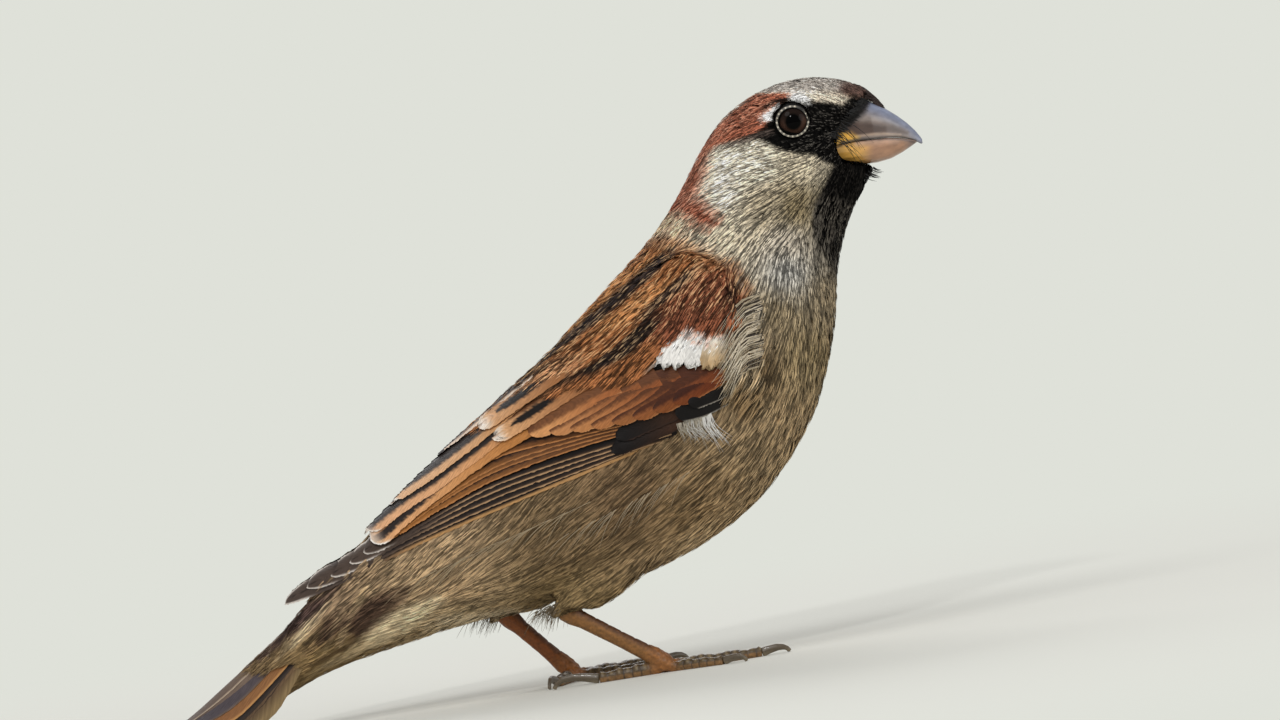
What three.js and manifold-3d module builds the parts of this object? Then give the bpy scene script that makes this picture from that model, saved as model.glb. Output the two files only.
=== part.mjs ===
// A male house sparrow, life size, standing on level ground with its tail tip laid down behind it.
//
// Frame, in millimetres: +X is forwards (the bill), +Y is the bird's left, +Z is up. The shape is laid
// out in a drawing frame whose zero is under the right foot, and the finished group is moved so that
// the origin is the bottom centre of the whole bird's box, on the ground.
//
// The body is one loft, from the tail coverts to the forehead, parted by thin cuts into tail coverts,
// belly, breast, neck and head. Each wing is a curved slab over the body's side, parted where its
// feather groups meet. Bill, eyes, tail, legs, toes and claws are pieces of their own.
import * as THREE from "three";
import { mergeVertices } from "three/addons/utils/BufferGeometryUtils.js";
import Module from "manifold-3d";

const wasm = await Module();
wasm.setup();

// ---- driving dimensions, mm ------------------------------------------------------------------
const GAP = 0.3; // left between neighbouring pieces
const BODY_SIDES = 24; // points round the body
const RINGS_PER_STATION = 2;

const EYE = { x: 34.9, y: 5.3, z: 82.3, radius: 3.2 };

const TAIL_THICK = 1.3;

const FOOT = {
  right: { x: 0.9, y: -8.6, heel: [-13.4, -8.9, 12.3], turn: -4 },
  left: { x: -14.0, y: 8.6, heel: [-23.2, 8.9, 12.6], turn: 22 },
};
const JOINT_Z = 1.75; // height of the joint where the toes meet the tarsus
const TARSUS_DEEP = 1.2; // half its front-to-back thickness
const TARSUS_WIDE = 0.9; // half its side-to-side thickness

// Toes fan from the joint: angle from straight ahead (towards the midline), length to the claw's root,
// claw length, half thickness at the root and how high the claw arches.
const TOES = {
  hallux: { angle: 178, reach: 10.4, claw: 7.8, thick: 0.95, arch: 1.05 },
  inner_toe: { angle: 27, reach: 9.6, claw: 4.4, thick: 0.8, arch: 0.55 },
  middle_toe: { angle: 2, reach: 15.3, claw: 4.6, thick: 0.9, arch: 0.6 },
  outer_toe: { angle: -24, reach: 10.4, claw: 4.2, thick: 0.8, arch: 0.55 },
};
// The left foot is turned out. Its hind toe, which the photo hides, is folded in behind the right foot.
const LEFT_HALLUX = { ...TOES.hallux, angle: 128, reach: 8.4, claw: 5.2 };

// Stations of the body loft, from the tail coverts to the forehead. Each gives the top and the bottom
// point of a cross-section in the side view, its half width, how far up the widest place is (0 to 1)
// and how square it is (2 is an ellipse).
const BODY = [
  { top: [-57.0, 17.0], bottom: [-61.0, 4.9], half: 4.6, widest: 0.5, square: 2.0 },
  { top: [-51.0, 21.2], bottom: [-53.5, 7.9], half: 7.2, widest: 0.48, square: 2.0 },
  { top: [-43.0, 26.4], bottom: [-46.0, 9.6], half: 9.6, widest: 0.47, square: 2.1 },
  { top: [-34.0, 32.6], bottom: [-38.0, 10.9], half: 12.0, widest: 0.46, square: 2.1 },
  { top: [-24.5, 39.6], bottom: [-28.0, 12.4], half: 14.2, widest: 0.45, square: 2.15 },
  { top: [-14.5, 48.0], bottom: [-16.0, 13.4], half: 16.2, widest: 0.44, square: 2.2 },
  { top: [-5.0, 56.1], bottom: [-4.0, 14.5], half: 17.8, widest: 0.44, square: 2.2 },
  { top: [3.0, 62.4], bottom: [9.0, 18.0], half: 19.0, widest: 0.45, square: 2.2 },
  { top: [9.0, 67.2], bottom: [21.0, 24.7], half: 19.2, widest: 0.47, square: 2.15 },
  { top: [13.0, 71.3], bottom: [31.0, 36.0], half: 17.9, widest: 0.5, square: 2.1 },
  { top: [15.6, 74.4], bottom: [36.4, 49.0], half: 15.6, widest: 0.52, square: 2.05 },
  { top: [17.6, 77.2], bottom: [38.5, 58.5], half: 13.2, widest: 0.53, square: 2.0 },
  { top: [20.4, 80.9], bottom: [41.3, 65.3], half: 11.4, widest: 0.53, square: 2.05 },
  { top: [24.6, 85.1], bottom: [44.0, 69.3], half: 10.1, widest: 0.52, square: 2.1 },
  { top: [30.4, 88.0], bottom: [45.7, 71.6], half: 8.5, widest: 0.52, square: 2.1 },
  { top: [36.6, 89.1], bottom: [46.7, 73.0], half: 6.8, widest: 0.56, square: 2.1 },
  { top: [42.0, 88.4], bottom: [47.0, 73.7], half: 5.5, widest: 0.6, square: 2.0 },
  { top: [46.0, 86.7], bottom: [46.6, 75.0], half: 4.4, widest: 0.6, square: 1.9 },
  { top: [48.2, 85.1], bottom: [46.8, 78.6], half: 2.8, widest: 0.6, square: 2.0 },
];
// Which stations bound each named piece of the body.
const BODY_PIECES = [
  ["tail_coverts", 0, 3],
  ["belly", 3, 6.4],
  ["breast", 6.4, 9.6],
  ["neck", 9.6, 11.8],
  ["head", 11.8, 18],
];

// Stations of the right wing, from the shoulder to the tip of the primaries. Each gives the upper and
// the lower edge of the folded wing and how far it bulges outwards between them.
const WING = [
  { upper: [20.8, -11.0, 59.0], lower: [21.6, -15.6, 44.6], bulge: 2.0 },
  { upper: [15.4, -9.4, 63.4], lower: [14.5, -18.4, 38.8], bulge: 3.4 },
  { upper: [6.0, -8.0, 61.4], lower: [7.0, -18.8, 36.6], bulge: 4.2 },
  { upper: [-6.0, -6.8, 54.4], lower: [-4.0, -18.2, 33.8], bulge: 4.2 },
  { upper: [-19.0, -5.0, 46.3], lower: [-17.0, -15.8, 30.4], bulge: 3.6 },
  { upper: [-31.0, -3.4, 38.6], lower: [-30.0, -12.2, 27.0], bulge: 2.7 },
  { upper: [-41.5, -2.4, 30.8], lower: [-41.0, -9.2, 24.0], bulge: 1.8 },
  { upper: [-50.0, -1.8, 25.4], lower: [-49.6, -6.2, 21.7], bulge: 0.8 },
  { upper: [-57.0, -1.6, 21.4], lower: [-57.0, -4.2, 20.2], bulge: 0.3 },
];
const WING_ACROSS = 6; // steps from the upper to the lower edge
const WING_STEPS = 14;
const WING_PROUD = 1.3; // the least that the wing stands out from the body
const SHOULDER_PROUD = 0.75; // the same at its front edge, under the breast feathers

// ---- materials -------------------------------------------------------------------------------
const finish = (color, roughness) => new THREE.MeshStandardMaterial({ color, roughness, metalness: 0 });
const MATERIALS = {
  plumage: finish(0x9a8a72, 0.95),
  crown: finish(0x7a4a34, 0.9),
  rufous: finish(0xa5622f, 0.85),
  flight: finish(0x4a4038, 0.8),
  black: finish(0x1d1a19, 0.85),
  horn: finish(0x77706c, 0.35),
  iris: finish(0x2a1912, 0.1),
  leg: finish(0x7c4a38, 0.5),
  claw: finish(0x33261f, 0.35),
};

// ---- helpers ---------------------------------------------------------------------------------
const bird = new THREE.Group();

function addMesh(name, geometry, material) {
  const mesh = new THREE.Mesh(geometry, material);
  mesh.name = name;
  bird.add(mesh);
}

// A solid as a mesh. Where a cut has left crumbs beside it, the largest body is the one kept.
function addSolid(name, solid, material) {
  const main = solid.decompose().reduce((a, b) => (b.volume() > a.volume() ? b : a));
  const { numVert, numProp, vertProperties, triVerts } = main.getMesh();
  const positions = new Float32Array(numVert * 3);
  for (let i = 0; i < numVert; i++) {
    positions.set(vertProperties.subarray(i * numProp, i * numProp + 3), i * 3);
  }
  const geometry = new THREE.BufferGeometry();
  geometry.setAttribute("position", new THREE.BufferAttribute(positions, 3));
  geometry.setIndex(new THREE.BufferAttribute(triVerts, 1));
  addMesh(name, geometry, material);
}

// A closed surface through rings with the same number of points, with a fan over each end.
function loft(rings) {
  const sides = rings[0].length;
  const positions = [];
  const indices = [];
  rings.forEach((ring) => ring.forEach((p) => positions.push(p.x, p.y, p.z)));
  const corner = (i, j) => i * sides + (j % sides);
  for (let i = 0; i + 1 < rings.length; i++) {
    for (let j = 0; j < sides; j++) {
      indices.push(corner(i, j), corner(i + 1, j), corner(i + 1, j + 1));
      indices.push(corner(i, j), corner(i + 1, j + 1), corner(i, j + 1));
    }
  }
  [0, rings.length - 1].forEach((i) => {
    const middle = rings[i].reduce((sum, p) => sum.add(p), new THREE.Vector3()).divideScalar(sides);
    const tip = positions.length / 3;
    positions.push(middle.x, middle.y, middle.z);
    for (let j = 0; j < sides; j++) {
      if (i === 0) indices.push(tip, corner(i, j), corner(i, j + 1));
      else indices.push(tip, corner(i, j + 1), corner(i, j));
    }
  });
  const geometry = new THREE.BufferGeometry();
  geometry.setAttribute("position", new THREE.Float32BufferAttribute(positions, 3));
  geometry.setIndex(indices);
  return geometry;
}

// A geometry as a manifold-3d solid, turned to face out.
function solidOf(geometry) {
  const bare = geometry.clone();
  bare.deleteAttribute("normal");
  bare.deleteAttribute("uv");
  const merged = mergeVertices(bare, 1e-4);
  const mesh = new wasm.Mesh({
    numProp: 3,
    vertProperties: merged.attributes.position.array,
    triVerts: new Uint32Array(merged.index.array),
  });
  const made = new wasm.Manifold(mesh);
  if (made.volume() > 0) return made;
  for (let i = 0; i < mesh.triVerts.length; i += 3) {
    const kept = mesh.triVerts[i + 1];
    mesh.triVerts[i + 1] = mesh.triVerts[i + 2];
    mesh.triVerts[i + 2] = kept;
  }
  return new wasm.Manifold(mesh);
}

// An outline in the side view, grown by grow and pushed across the bird's right side, or all of it.
function sideBlock(points, { grow = 0, left = 0 } = {}) {
  const shape = new THREE.Shape(points.map(([x, z]) => new THREE.Vector2(x, z)));
  const bevel = { bevelEnabled: grow > 0, bevelSize: grow, bevelThickness: 0.1, bevelSegments: 1 };
  const block = new THREE.ExtrudeGeometry(shape, { depth: 40 + left, ...bevel });
  block.rotateX(Math.PI / 2);
  block.translate(0, left, 0);
  return solidOf(block);
}

// A smooth curve through points, read by station number.
function track(points) {
  const curve = new THREE.CatmullRomCurve3(points, false, "catmullrom", 0.5);
  const last = points.length - 1;
  return (station) => curve.getPoint(THREE.MathUtils.clamp(station / last, 0, 1));
}

// A power that keeps the sign, for rounded-square sections.
const signedPower = (value, power) => Math.sign(value) * Math.abs(value) ** power;

// ---- body ------------------------------------------------------------------------------------
const sidePoint = ([x, z]) => new THREE.Vector3(x, 0, z);
const bodyTop = track(BODY.map((s) => sidePoint(s.top)));
const bodyBottom = track(BODY.map((s) => sidePoint(s.bottom)));
const bodyShape = track(BODY.map((s) => new THREE.Vector3(s.half, s.widest, s.square)));

// One cross-section of the body, grown outwards by grow.
function bodyRing(station, grow = 0) {
  const top = bodyTop(station);
  const bottom = bodyBottom(station);
  const { x: half, y: widest, z: square } = bodyShape(station);
  const middle = bottom.clone().lerp(top, widest);
  const ring = [];
  for (let j = 0; j < BODY_SIDES; j++) {
    const angle = (2 * Math.PI * j) / BODY_SIDES;
    const rise = signedPower(Math.sin(angle), 2 / square);
    const side = signedPower(Math.cos(angle), 2 / square);
    const arm = (rise >= 0 ? top : bottom).clone().sub(middle).multiplyScalar(Math.abs(rise));
    const offset = arm.add(new THREE.Vector3(0, half * side, 0));
    offset.setLength(offset.length() + grow);
    ring.push(middle.clone().add(offset));
  }
  return ring;
}

// Half a thin cut through the body, in stations: they lie closer together in some places than others.
function halfCut(station) {
  const middle = (s) => bodyTop(s).lerp(bodyBottom(s), 0.5);
  return GAP / 2 / middle(station + 0.5).distanceTo(middle(station - 0.5));
}

function bodyLoft(from, to, grow = 0) {
  const count = Math.max(2, Math.round((to - from) * RINGS_PER_STATION));
  const rings = [];
  for (let i = 0; i <= count; i++) rings.push(bodyRing(THREE.MathUtils.lerp(from, to, i / count), grow));
  return loft(rings);
}

// ---- bill ------------------------------------------------------------------------------------
// Stations from the root, inside the face, to the hooked tip. Each gives the culmen on top, the two
// cutting edges where the halves meet, the gonys underneath and the half width.
const BILL = [
  { x: 40.0, culmen: 83.6, upper: 77.6, lower: 77.3, gonys: 74.4, half: 4.6 },
  { x: 43.6, culmen: 84.5, upper: 77.9, lower: 77.6, gonys: 74.2, half: 4.4 },
  { x: 46.6, culmen: 84.0, upper: 77.8, lower: 77.5, gonys: 73.9, half: 3.8 },
  { x: 49.6, culmen: 82.2, upper: 77.6, lower: 77.3, gonys: 74.2, half: 2.9 },
  { x: 52.0, culmen: 80.1, upper: 77.1, lower: 76.8, gonys: 75.1, half: 1.8 },
  { x: 53.6, culmen: 78.3, upper: 76.5, lower: 76.3, gonys: 75.9, half: 0.8 },
  { x: 54.8, culmen: 76.4, upper: 75.6 },
];
const BILL_HOOK = BILL.at(-1);
const LOWER_TIP = { x: 54.0, z: 76.12 };
const BILL_SIDES = 10; // round each half
const BILL_STEPS = 8;
// Where the feathers of the face stop, in the side view, and the bare bill begins.
const FACE_EDGE = [
  [47.4, 85.2], [46.9, 83.9], [45.5, 82.4], [43.5, 81.5], [41.6, 80.0], [41.1, 77.5], [41.5, 75.2], [47.4, 73.6],
];

const billHalf = track([...BILL.slice(0, -1).map((s) => s.half), 0.12].map((w) => new THREE.Vector3(w, 0, 0)));
const billLine = (key, tip) => track([...BILL.slice(0, -1).map((s) => sidePoint([s.x, s[key]])), sidePoint(tip)]);
const culmen = billLine("culmen", [BILL_HOOK.x, BILL_HOOK.culmen]);
const upperEdge = billLine("upper", [BILL_HOOK.x, BILL_HOOK.upper]);
const lowerEdge = billLine("lower", [LOWER_TIP.x, LOWER_TIP.z + 0.05]);
const gonys = billLine("gonys", [LOWER_TIP.x, LOWER_TIP.z - 0.05]);

// Half a bill: an arch from one cutting edge over the ridge to the other, closed by a flat between
// them and grown outwards by grow.
function billGeometry(ridge, edge, share, grow) {
  const rings = [];
  for (let i = 0; i <= BILL_STEPS; i++) {
    const station = ((BILL.length - 1) * i) / BILL_STEPS;
    const low = edge(station);
    const rise = ridge(station).sub(low);
    low.z -= Math.sign(rise.z) * grow;
    rise.setLength(rise.length() + 2 * grow);
    const half = billHalf(station).x * share + grow;
    const ring = [];
    for (let j = 0; j <= BILL_SIDES; j++) {
      const angle = (Math.PI * j) / BILL_SIDES;
      const p = low.clone().addScaledVector(rise, Math.sin(angle) ** 0.85);
      p.y = half * signedPower(Math.cos(angle), 0.8);
      ring.push(p);
    }
    rings.push(ring);
  }
  return loft(rings);
}

const upperBill = (grow = 0) => solidOf(billGeometry(culmen, upperEdge, 1, grow));
const lowerBill = (grow = 0) => solidOf(billGeometry(gonys, lowerEdge, 0.94, grow));

// ---- tail ------------------------------------------------------------------------------------
// Side-view line of the tail's ridge, from its root inside the coverts to the tip laid on the ground.
const TAIL = [
  { x: -47, ridge: 21.0, half: 4.4, drop: 2.5 },
  { x: -54, ridge: 18.2, half: 5.4, drop: 5.0 },
  { x: -61, ridge: 13.9, half: 6.2, drop: 6.2 },
  { x: -68, ridge: 9.2, half: 6.8, drop: 6.3 },
  { x: -74, ridge: 5.3, half: 7.3, drop: 3.6 },
  { x: -79.5, ridge: 2.4, half: 7.7, drop: 1.1 },
  { x: -84, ridge: 1.3, half: 8.0, drop: 0.1 },
];
const tailRidge = track(TAIL.map(({ x, ridge }) => sidePoint([x, ridge])));
const TAIL_NOTCH = 2.0; // how much further the sides reach than the centre
const tailShape = track(TAIL.map(({ half, drop }) => new THREE.Vector3(half, drop, 0)));
const TAIL_LAST = TAIL.length - 1;
const TAIL_ACROSS = 8;
const TAIL_STEPS = 12;

function tailGeometry(grow = 0) {
  const rings = [];
  for (let i = 0; i <= TAIL_STEPS; i++) {
    const station = (TAIL_LAST * i) / TAIL_STEPS;
    const ridge = tailRidge(station);
    const { x: half, y: drop } = tailShape(station);
    const upper = [];
    const lower = [];
    for (let j = 0; j <= TAIL_ACROSS; j++) {
      const across = (2 * j) / TAIL_ACROSS - 1;
      const thick = TAIL_THICK * (1 - 0.35 * across * across);
      const x = ridge.x - (TAIL_NOTCH * Math.abs(across) * station) / TAIL_LAST;
      const y = (half + grow) * across;
      const z = ridge.z - drop * Math.abs(across) ** 1.3;
      upper.push(new THREE.Vector3(x, y, Math.max(z, 0.8) + grow));
      lower.push(new THREE.Vector3(x, y, Math.max(z - thick - grow, 0)));
    }
    rings.push([...upper, ...lower.reverse()]);
  }
  return loft(rings);
}

// ---- wings -----------------------------------------------------------------------------------
const wingUpper = track(WING.map((s) => new THREE.Vector3(...s.upper)));
const wingLower = track(WING.map((s) => new THREE.Vector3(...s.lower)));
const wingBulge = track(WING.map((s) => new THREE.Vector3(s.bulge, 0, 0)));

// How far out the body reaches on a line through a point, or minus infinity where it is clear of it.
const bodyMesh = new THREE.Mesh(bodyLoft(0, 12), new THREE.MeshBasicMaterial({ side: THREE.DoubleSide }));
const REACH = 60;
function bodyReach(point, outwards) {
  const start = point.clone().addScaledVector(outwards, REACH);
  const hits = new THREE.Raycaster(start, outwards.clone().negate()).intersectObject(bodyMesh);
  return hits.length ? REACH - hits[0].distance : -Infinity;
}

// The wing as a slab whose outer face stands proud by the given amount.
function wingSlab(proud, thick) {
  const rings = [];
  for (let i = 0; i <= WING_STEPS; i++) {
    const station = ((WING.length - 1) * i) / WING_STEPS;
    const upper = wingUpper(station);
    const lower = wingLower(station);
    const down = lower.clone().sub(upper).normalize();
    const outwards = new THREE.Vector3(0, -1, 0).addScaledVector(down, down.y).normalize();
    const outer = [];
    const inner = [];
    for (let j = 0; j <= WING_ACROSS; j++) {
      const across = j / WING_ACROSS;
      const edge = upper.clone().lerp(lower, across);
      const bow = wingBulge(station).x * Math.sin(Math.PI * across);
      const least = THREE.MathUtils.lerp(SHOULDER_PROUD, WING_PROUD, Math.min(station, 1));
      const out = Math.max(bow, bodyReach(edge, outwards) + least);
      outer.push(edge.clone().addScaledVector(outwards, out + proud));
      inner.push(edge.clone().addScaledVector(outwards, out + proud - thick));
    }
    rings.push([...outer, ...inner.reverse()]);
  }
  return loft(rings);
}

// Points on the rounded tip of a feather in the side view: from one edge round to the other.
function tipArc(x, z, radius, heading, steps = 6) {
  const points = [];
  for (let i = 0; i <= steps; i++) {
    const angle = THREE.MathUtils.degToRad(heading + 90 - (180 * i) / steps);
    points.push([x + radius * Math.cos(angle), z + radius * Math.sin(angle)]);
  }
  return points;
}

// The feather groups, in the order in which they lie over one another: each one's outline in the side
// view, how proud its outer face stands and how thick it is. A group is cut clear of those before it.
const WING_GROUPS = {
  coverts: {
    proud: 0.5,
    thick: 5.0,
    material: "rufous",
    outline: [
      [24, 66], [24, 43.6], [16, 42.6], [9.5, 40.7], [0, 39.9], [-12, 39.8], ...tipArc(-18.3, 40.7, 0.9, 200),
      ...tipArc(-20.2, 42.9, 0.8, 205), [-18.5, 44.6], [-20, 49], [2, 66],
    ],
  },
  alula: {
    proud: 0.1,
    thick: 4.4,
    material: "black",
    outline: [[24, 44], [24, 36], [0, 33], [-1, 38.6], [0, 41]],
  },
  secondaries: {
    proud: 0,
    thick: 3.4,
    material: "rufous",
    outline: [
      [-20.5, 52], [0, 45], [0, 39], [-12, 35.6], [-22, 32.4], [-32, 29.0], ...tipArc(-41.2, 27.8, 1.1, 205),
      [-40.8, 31.2], [-34, 39],
    ],
  },
  primaries: {
    proud: -0.3,
    thick: 1.6,
    material: "flight",
    outline: [
      [0, 32], [-15, 28], [-30, 24], [-40, 21], [-54, 18], ...tipArc(-56.2, 20.6, 0.5, 205),
      ...tipArc(-51.5, 24.1, 1.0, 205), [-46, 29.5], [-42.6, 33], [-30, 34], [0, 42],
    ],
  },
};

// ---- legs ------------------------------------------------------------------------------------
const LIMB_SIDES = 8;

// A limb along a path. Each stop has a place, a half width across the path and a half depth, and the
// surface is kept above the ground so that it rests on a flat.
function limb(stops, sides = LIMB_SIDES) {
  const at = stops.map((s) => new THREE.Vector3(...s.at));
  const rings = stops.map((stop, i) => {
    const along = at[Math.min(i + 1, at.length - 1)].clone().sub(at[Math.max(i - 1, 0)]).normalize();
    const across = new THREE.Vector3(-along.y, along.x, 0);
    if (across.length() < 0.05) across.set(0, 1, 0);
    across.normalize();
    const over = along.clone().cross(across).normalize();
    const ring = [];
    for (let j = 0; j < sides; j++) {
      const angle = (2 * Math.PI * j) / sides;
      const p = at[i].clone();
      p.addScaledVector(across, stop.wide * Math.cos(angle));
      p.addScaledVector(over, stop.deep * Math.sin(angle));
      p.z = Math.max(p.z, 0);
      ring.push(p);
    }
    return ring;
  });
  return loft(rings);
}

// The direction of a toe on the ground, for a foot on one side of the bird.
function toeDirection(foot, sideSign, toe) {
  const angle = THREE.MathUtils.degToRad(foot.turn - sideSign * toe.angle);
  return new THREE.Vector3(Math.cos(angle), Math.sin(angle), 0);
}

// A toe from inside the foot's joint to its claw, swollen at its pads.
function toeGeometry(foot, direction, toe) {
  const steps = 6;
  const stops = [];
  for (let i = 0; i <= steps; i++) {
    const share = i / steps;
    const pad = 1 + 0.1 * Math.cos(share * Math.PI * steps);
    const thick = toe.thick * (1.12 - 0.3 * share) * pad;
    const p = new THREE.Vector3(foot.x, foot.y, thick * 0.82);
    p.addScaledVector(direction, THREE.MathUtils.lerp(1.0, toe.reach, share));
    stops.push({ at: p.toArray(), wide: thick * 0.92, deep: thick });
  }
  return limb(stops);
}

// A claw that arches up from its toe and comes down to the ground at its point.
function clawGeometry(foot, direction, toe) {
  const steps = 5;
  const root = toe.thick * 0.78;
  const stops = [];
  for (let i = 0; i <= steps; i++) {
    const share = i / steps;
    const thick = Math.max(root * (1 - share) ** 0.7, 0.26);
    const height = root * (0.9 - 0.6 * share) + toe.arch * Math.sin(share * Math.PI);
    const p = new THREE.Vector3(foot.x, foot.y, Math.max(height, thick * 0.7));
    p.addScaledVector(direction, toe.reach + GAP + toe.claw * 0.93 * Math.sin((share * Math.PI) / 2.15));
    stops.push({ at: p.toArray(), wide: thick * 0.62, deep: thick });
  }
  return limb(stops, 6);
}

// The tarsus, from the heel down to the joint where the toes meet, grown outwards by grow.
function tarsusGeometry(foot, grow = 0) {
  const joint = new THREE.Vector3(foot.x, foot.y, JOINT_Z);
  const heel = new THREE.Vector3(...foot.heel);
  const along = joint.clone().sub(heel).normalize();
  const length = joint.distanceTo(heel);
  const stop = (distance, swell) => ({
    at: heel.clone().addScaledVector(along, distance).toArray(),
    wide: TARSUS_WIDE * swell + grow,
    deep: TARSUS_DEEP * swell + grow,
  });
  return limb([
    stop(-grow, 1.2),
    stop(1.6, 1.25),
    stop(3.4, 1.0),
    stop(length * 0.6, 0.93),
    stop(length - 3.6, 1.0),
    stop(length - 1.4, 1.2),
    { at: [foot.x + 0.5, foot.y, 1.15], wide: 1.5 + grow, deep: 1.3 + grow },
    { at: [foot.x + 1.0 + grow, foot.y, 0.7], wide: 1.0 + grow, deep: 0.9 + grow },
  ]);
}

// The feathered lower thigh, from inside the belly to the tuft of feathers behind the heel.
function thighGeometry(foot) {
  const heel = new THREE.Vector3(...foot.heel);
  const stop = (x, z, radius) => ({
    at: [heel.x + x, heel.y, heel.z + z],
    wide: radius * 0.85,
    deep: radius,
  });
  return limb(
    [
      stop(17, 10.5, 3.4),
      stop(11, 6.9, 4.5),
      stop(5.5, 3.4, 4.0),
      stop(1.5, 0.9, 2.9),
      stop(-1, -1.4, 1.5),
      stop(-2, -2.8, 0.5),
    ],
    12,
  );
}

function addLeg(side) {
  const foot = FOOT[side];
  const sideSign = side === "left" ? 1 : -1;
  const clearTarsus = solidOf(tarsusGeometry(foot, GAP));
  const clearBody = solidOf(bodyLoft(1, 12, GAP));
  const thigh = solidOf(thighGeometry(foot));
  addSolid(`thigh_${side}`, thigh.subtract(clearBody).subtract(clearTarsus), MATERIALS.plumage);
  addSolid(`tarsus_${side}`, solidOf(tarsusGeometry(foot)), MATERIALS.leg);

  let taken = clearTarsus;
  const toes = side === "left" ? { ...TOES, hallux: LEFT_HALLUX } : TOES;
  for (const [name, toe] of Object.entries(toes)) {
    const direction = toeDirection(foot, sideSign, toe);
    addSolid(`${name}_${side}`, solidOf(toeGeometry(foot, direction, toe)).subtract(taken), MATERIALS.leg);
    addSolid(`${name}_claw_${side}`, solidOf(clawGeometry(foot, direction, toe)), MATERIALS.claw);
    taken = taken.add(solidOf(toeGeometry(foot, direction, { ...toe, thick: toe.thick + GAP })));
  }
}

// ---- assembly --------------------------------------------------------------------------------
const eyeBall = (side, grow = 0) => {
  const ball = new THREE.SphereGeometry(EYE.radius + grow, 14, 10);
  ball.rotateX(Math.PI / 2);
  ball.translate(EYE.x, side * EYE.y, EYE.z);
  return solidOf(ball);
};

for (const [name, from, to] of BODY_PIECES) {
  const first = from === 0 ? from : from + halfCut(from);
  const last = to === BODY.length - 1 ? to : to - halfCut(to);
  let piece = solidOf(bodyLoft(first, last));
  if (name === "tail_coverts") piece = piece.subtract(solidOf(tailGeometry(GAP)));
  if (name === "head") {
    for (const side of [-1, 1]) piece = piece.subtract(eyeBall(side, GAP));
    piece = piece.subtract(upperBill(GAP)).subtract(lowerBill(GAP));
    piece = piece.subtract(sideBlock([...FACE_EDGE, [60, 73.6], [60, 85.2]], { left: 40 }));
  }
  addSolid(name, piece, name === "head" ? MATERIALS.crown : MATERIALS.plumage);
}

addSolid("tail", solidOf(tailGeometry()), MATERIALS.flight);
addSolid("bill_upper", upperBill(), MATERIALS.horn);
addSolid("bill_lower", lowerBill(), MATERIALS.horn);
addSolid("eye_right", eyeBall(-1), MATERIALS.iris);
addSolid("eye_left", eyeBall(1), MATERIALS.iris);

let takenFromWing = solidOf(bodyLoft(0, 12, GAP));
for (const [group, { proud, thick, material, outline }] of Object.entries(WING_GROUPS)) {
  const part = solidOf(wingSlab(proud, thick)).intersect(sideBlock(outline)).subtract(takenFromWing);
  takenFromWing = takenFromWing.add(sideBlock(outline, { grow: GAP }));
  addSolid(`wing_${group}_right`, part, MATERIALS[material]);
  addSolid(`wing_${group}_left`, part.mirror([0, 1, 0]), MATERIALS[material]);
}

addLeg("right");
addLeg("left");

// The origin goes to the bottom centre of the whole bird.
const box = new THREE.Box3().setFromObject(bird, true);
const middle = box.getCenter(new THREE.Vector3());
bird.position.set(-middle.x, -middle.y, -box.min.z);

export default bird;
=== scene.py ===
"""A male house sparrow, life size: plumage, bill, eyes, legs and feet over the CAD frame.

Lengths are in millimetres in the part's drawing frame: +X forwards from the right foot, +Y to the bird's
left from its middle, and +Z up from the ground. to_row() turns them into the frame's metres when a mesh
is made. The plumage is laid out on the right side, as seen along +Y, and the left side mirrors it.
"""

import math

import bpy
import numpy as np
from mathutils import Matrix, Vector
from mathutils.bvhtree import BVHTree


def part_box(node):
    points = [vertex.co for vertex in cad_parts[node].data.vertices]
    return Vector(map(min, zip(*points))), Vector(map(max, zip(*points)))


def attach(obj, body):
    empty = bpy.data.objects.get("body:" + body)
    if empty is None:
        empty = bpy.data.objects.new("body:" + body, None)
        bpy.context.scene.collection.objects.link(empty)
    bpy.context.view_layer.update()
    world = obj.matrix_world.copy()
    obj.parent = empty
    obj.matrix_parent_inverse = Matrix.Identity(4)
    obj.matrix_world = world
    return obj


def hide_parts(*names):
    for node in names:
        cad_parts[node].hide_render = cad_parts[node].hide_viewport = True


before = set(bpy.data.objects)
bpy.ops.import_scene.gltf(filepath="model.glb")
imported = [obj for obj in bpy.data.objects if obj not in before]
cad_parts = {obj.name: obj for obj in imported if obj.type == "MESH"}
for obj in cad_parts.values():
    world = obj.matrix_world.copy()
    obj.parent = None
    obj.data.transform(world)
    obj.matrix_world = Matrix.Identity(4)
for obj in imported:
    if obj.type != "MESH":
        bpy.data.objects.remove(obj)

rng = np.random.default_rng(1758)
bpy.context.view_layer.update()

# ---- the frame, in drawing millimetres ---------------------------------------------------------
EYE_AT = np.array((34.9, -5.3, 82.3))  # the right eye's centre in the drawing frame
EYE_RADIUS = 3.2


def box_middle(node):
    low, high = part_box(node)
    return (np.array(low) + np.array(high)) / 2


SHIFT = box_middle("eye_right") * 1000 - EYE_AT


def to_row(points):
    return (np.asarray(points, float) + SHIFT) / 1000


def node_mesh(node):
    """(vertices in drawing mm, vertex normals, triangles) of a CAD node."""
    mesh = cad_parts[node].data
    mesh.calc_loop_triangles()
    points = np.array([v.co for v in mesh.vertices]) * 1000 - SHIFT
    normals = np.array([v.normal for v in mesh.vertices])
    return points, normals, np.array([t.vertices for t in mesh.loop_triangles])


SIDES = ("right", "left")
BODY = ("head", "neck", "breast", "belly", "tail_coverts")
THIGHS = ("thigh_right", "thigh_left")
CAD_WING_GROUPS = ("coverts", "alula", "secondaries", "primaries")
WINGS = [f"wing_{group}_{side}" for group in CAD_WING_GROUPS for side in SIDES]


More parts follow.
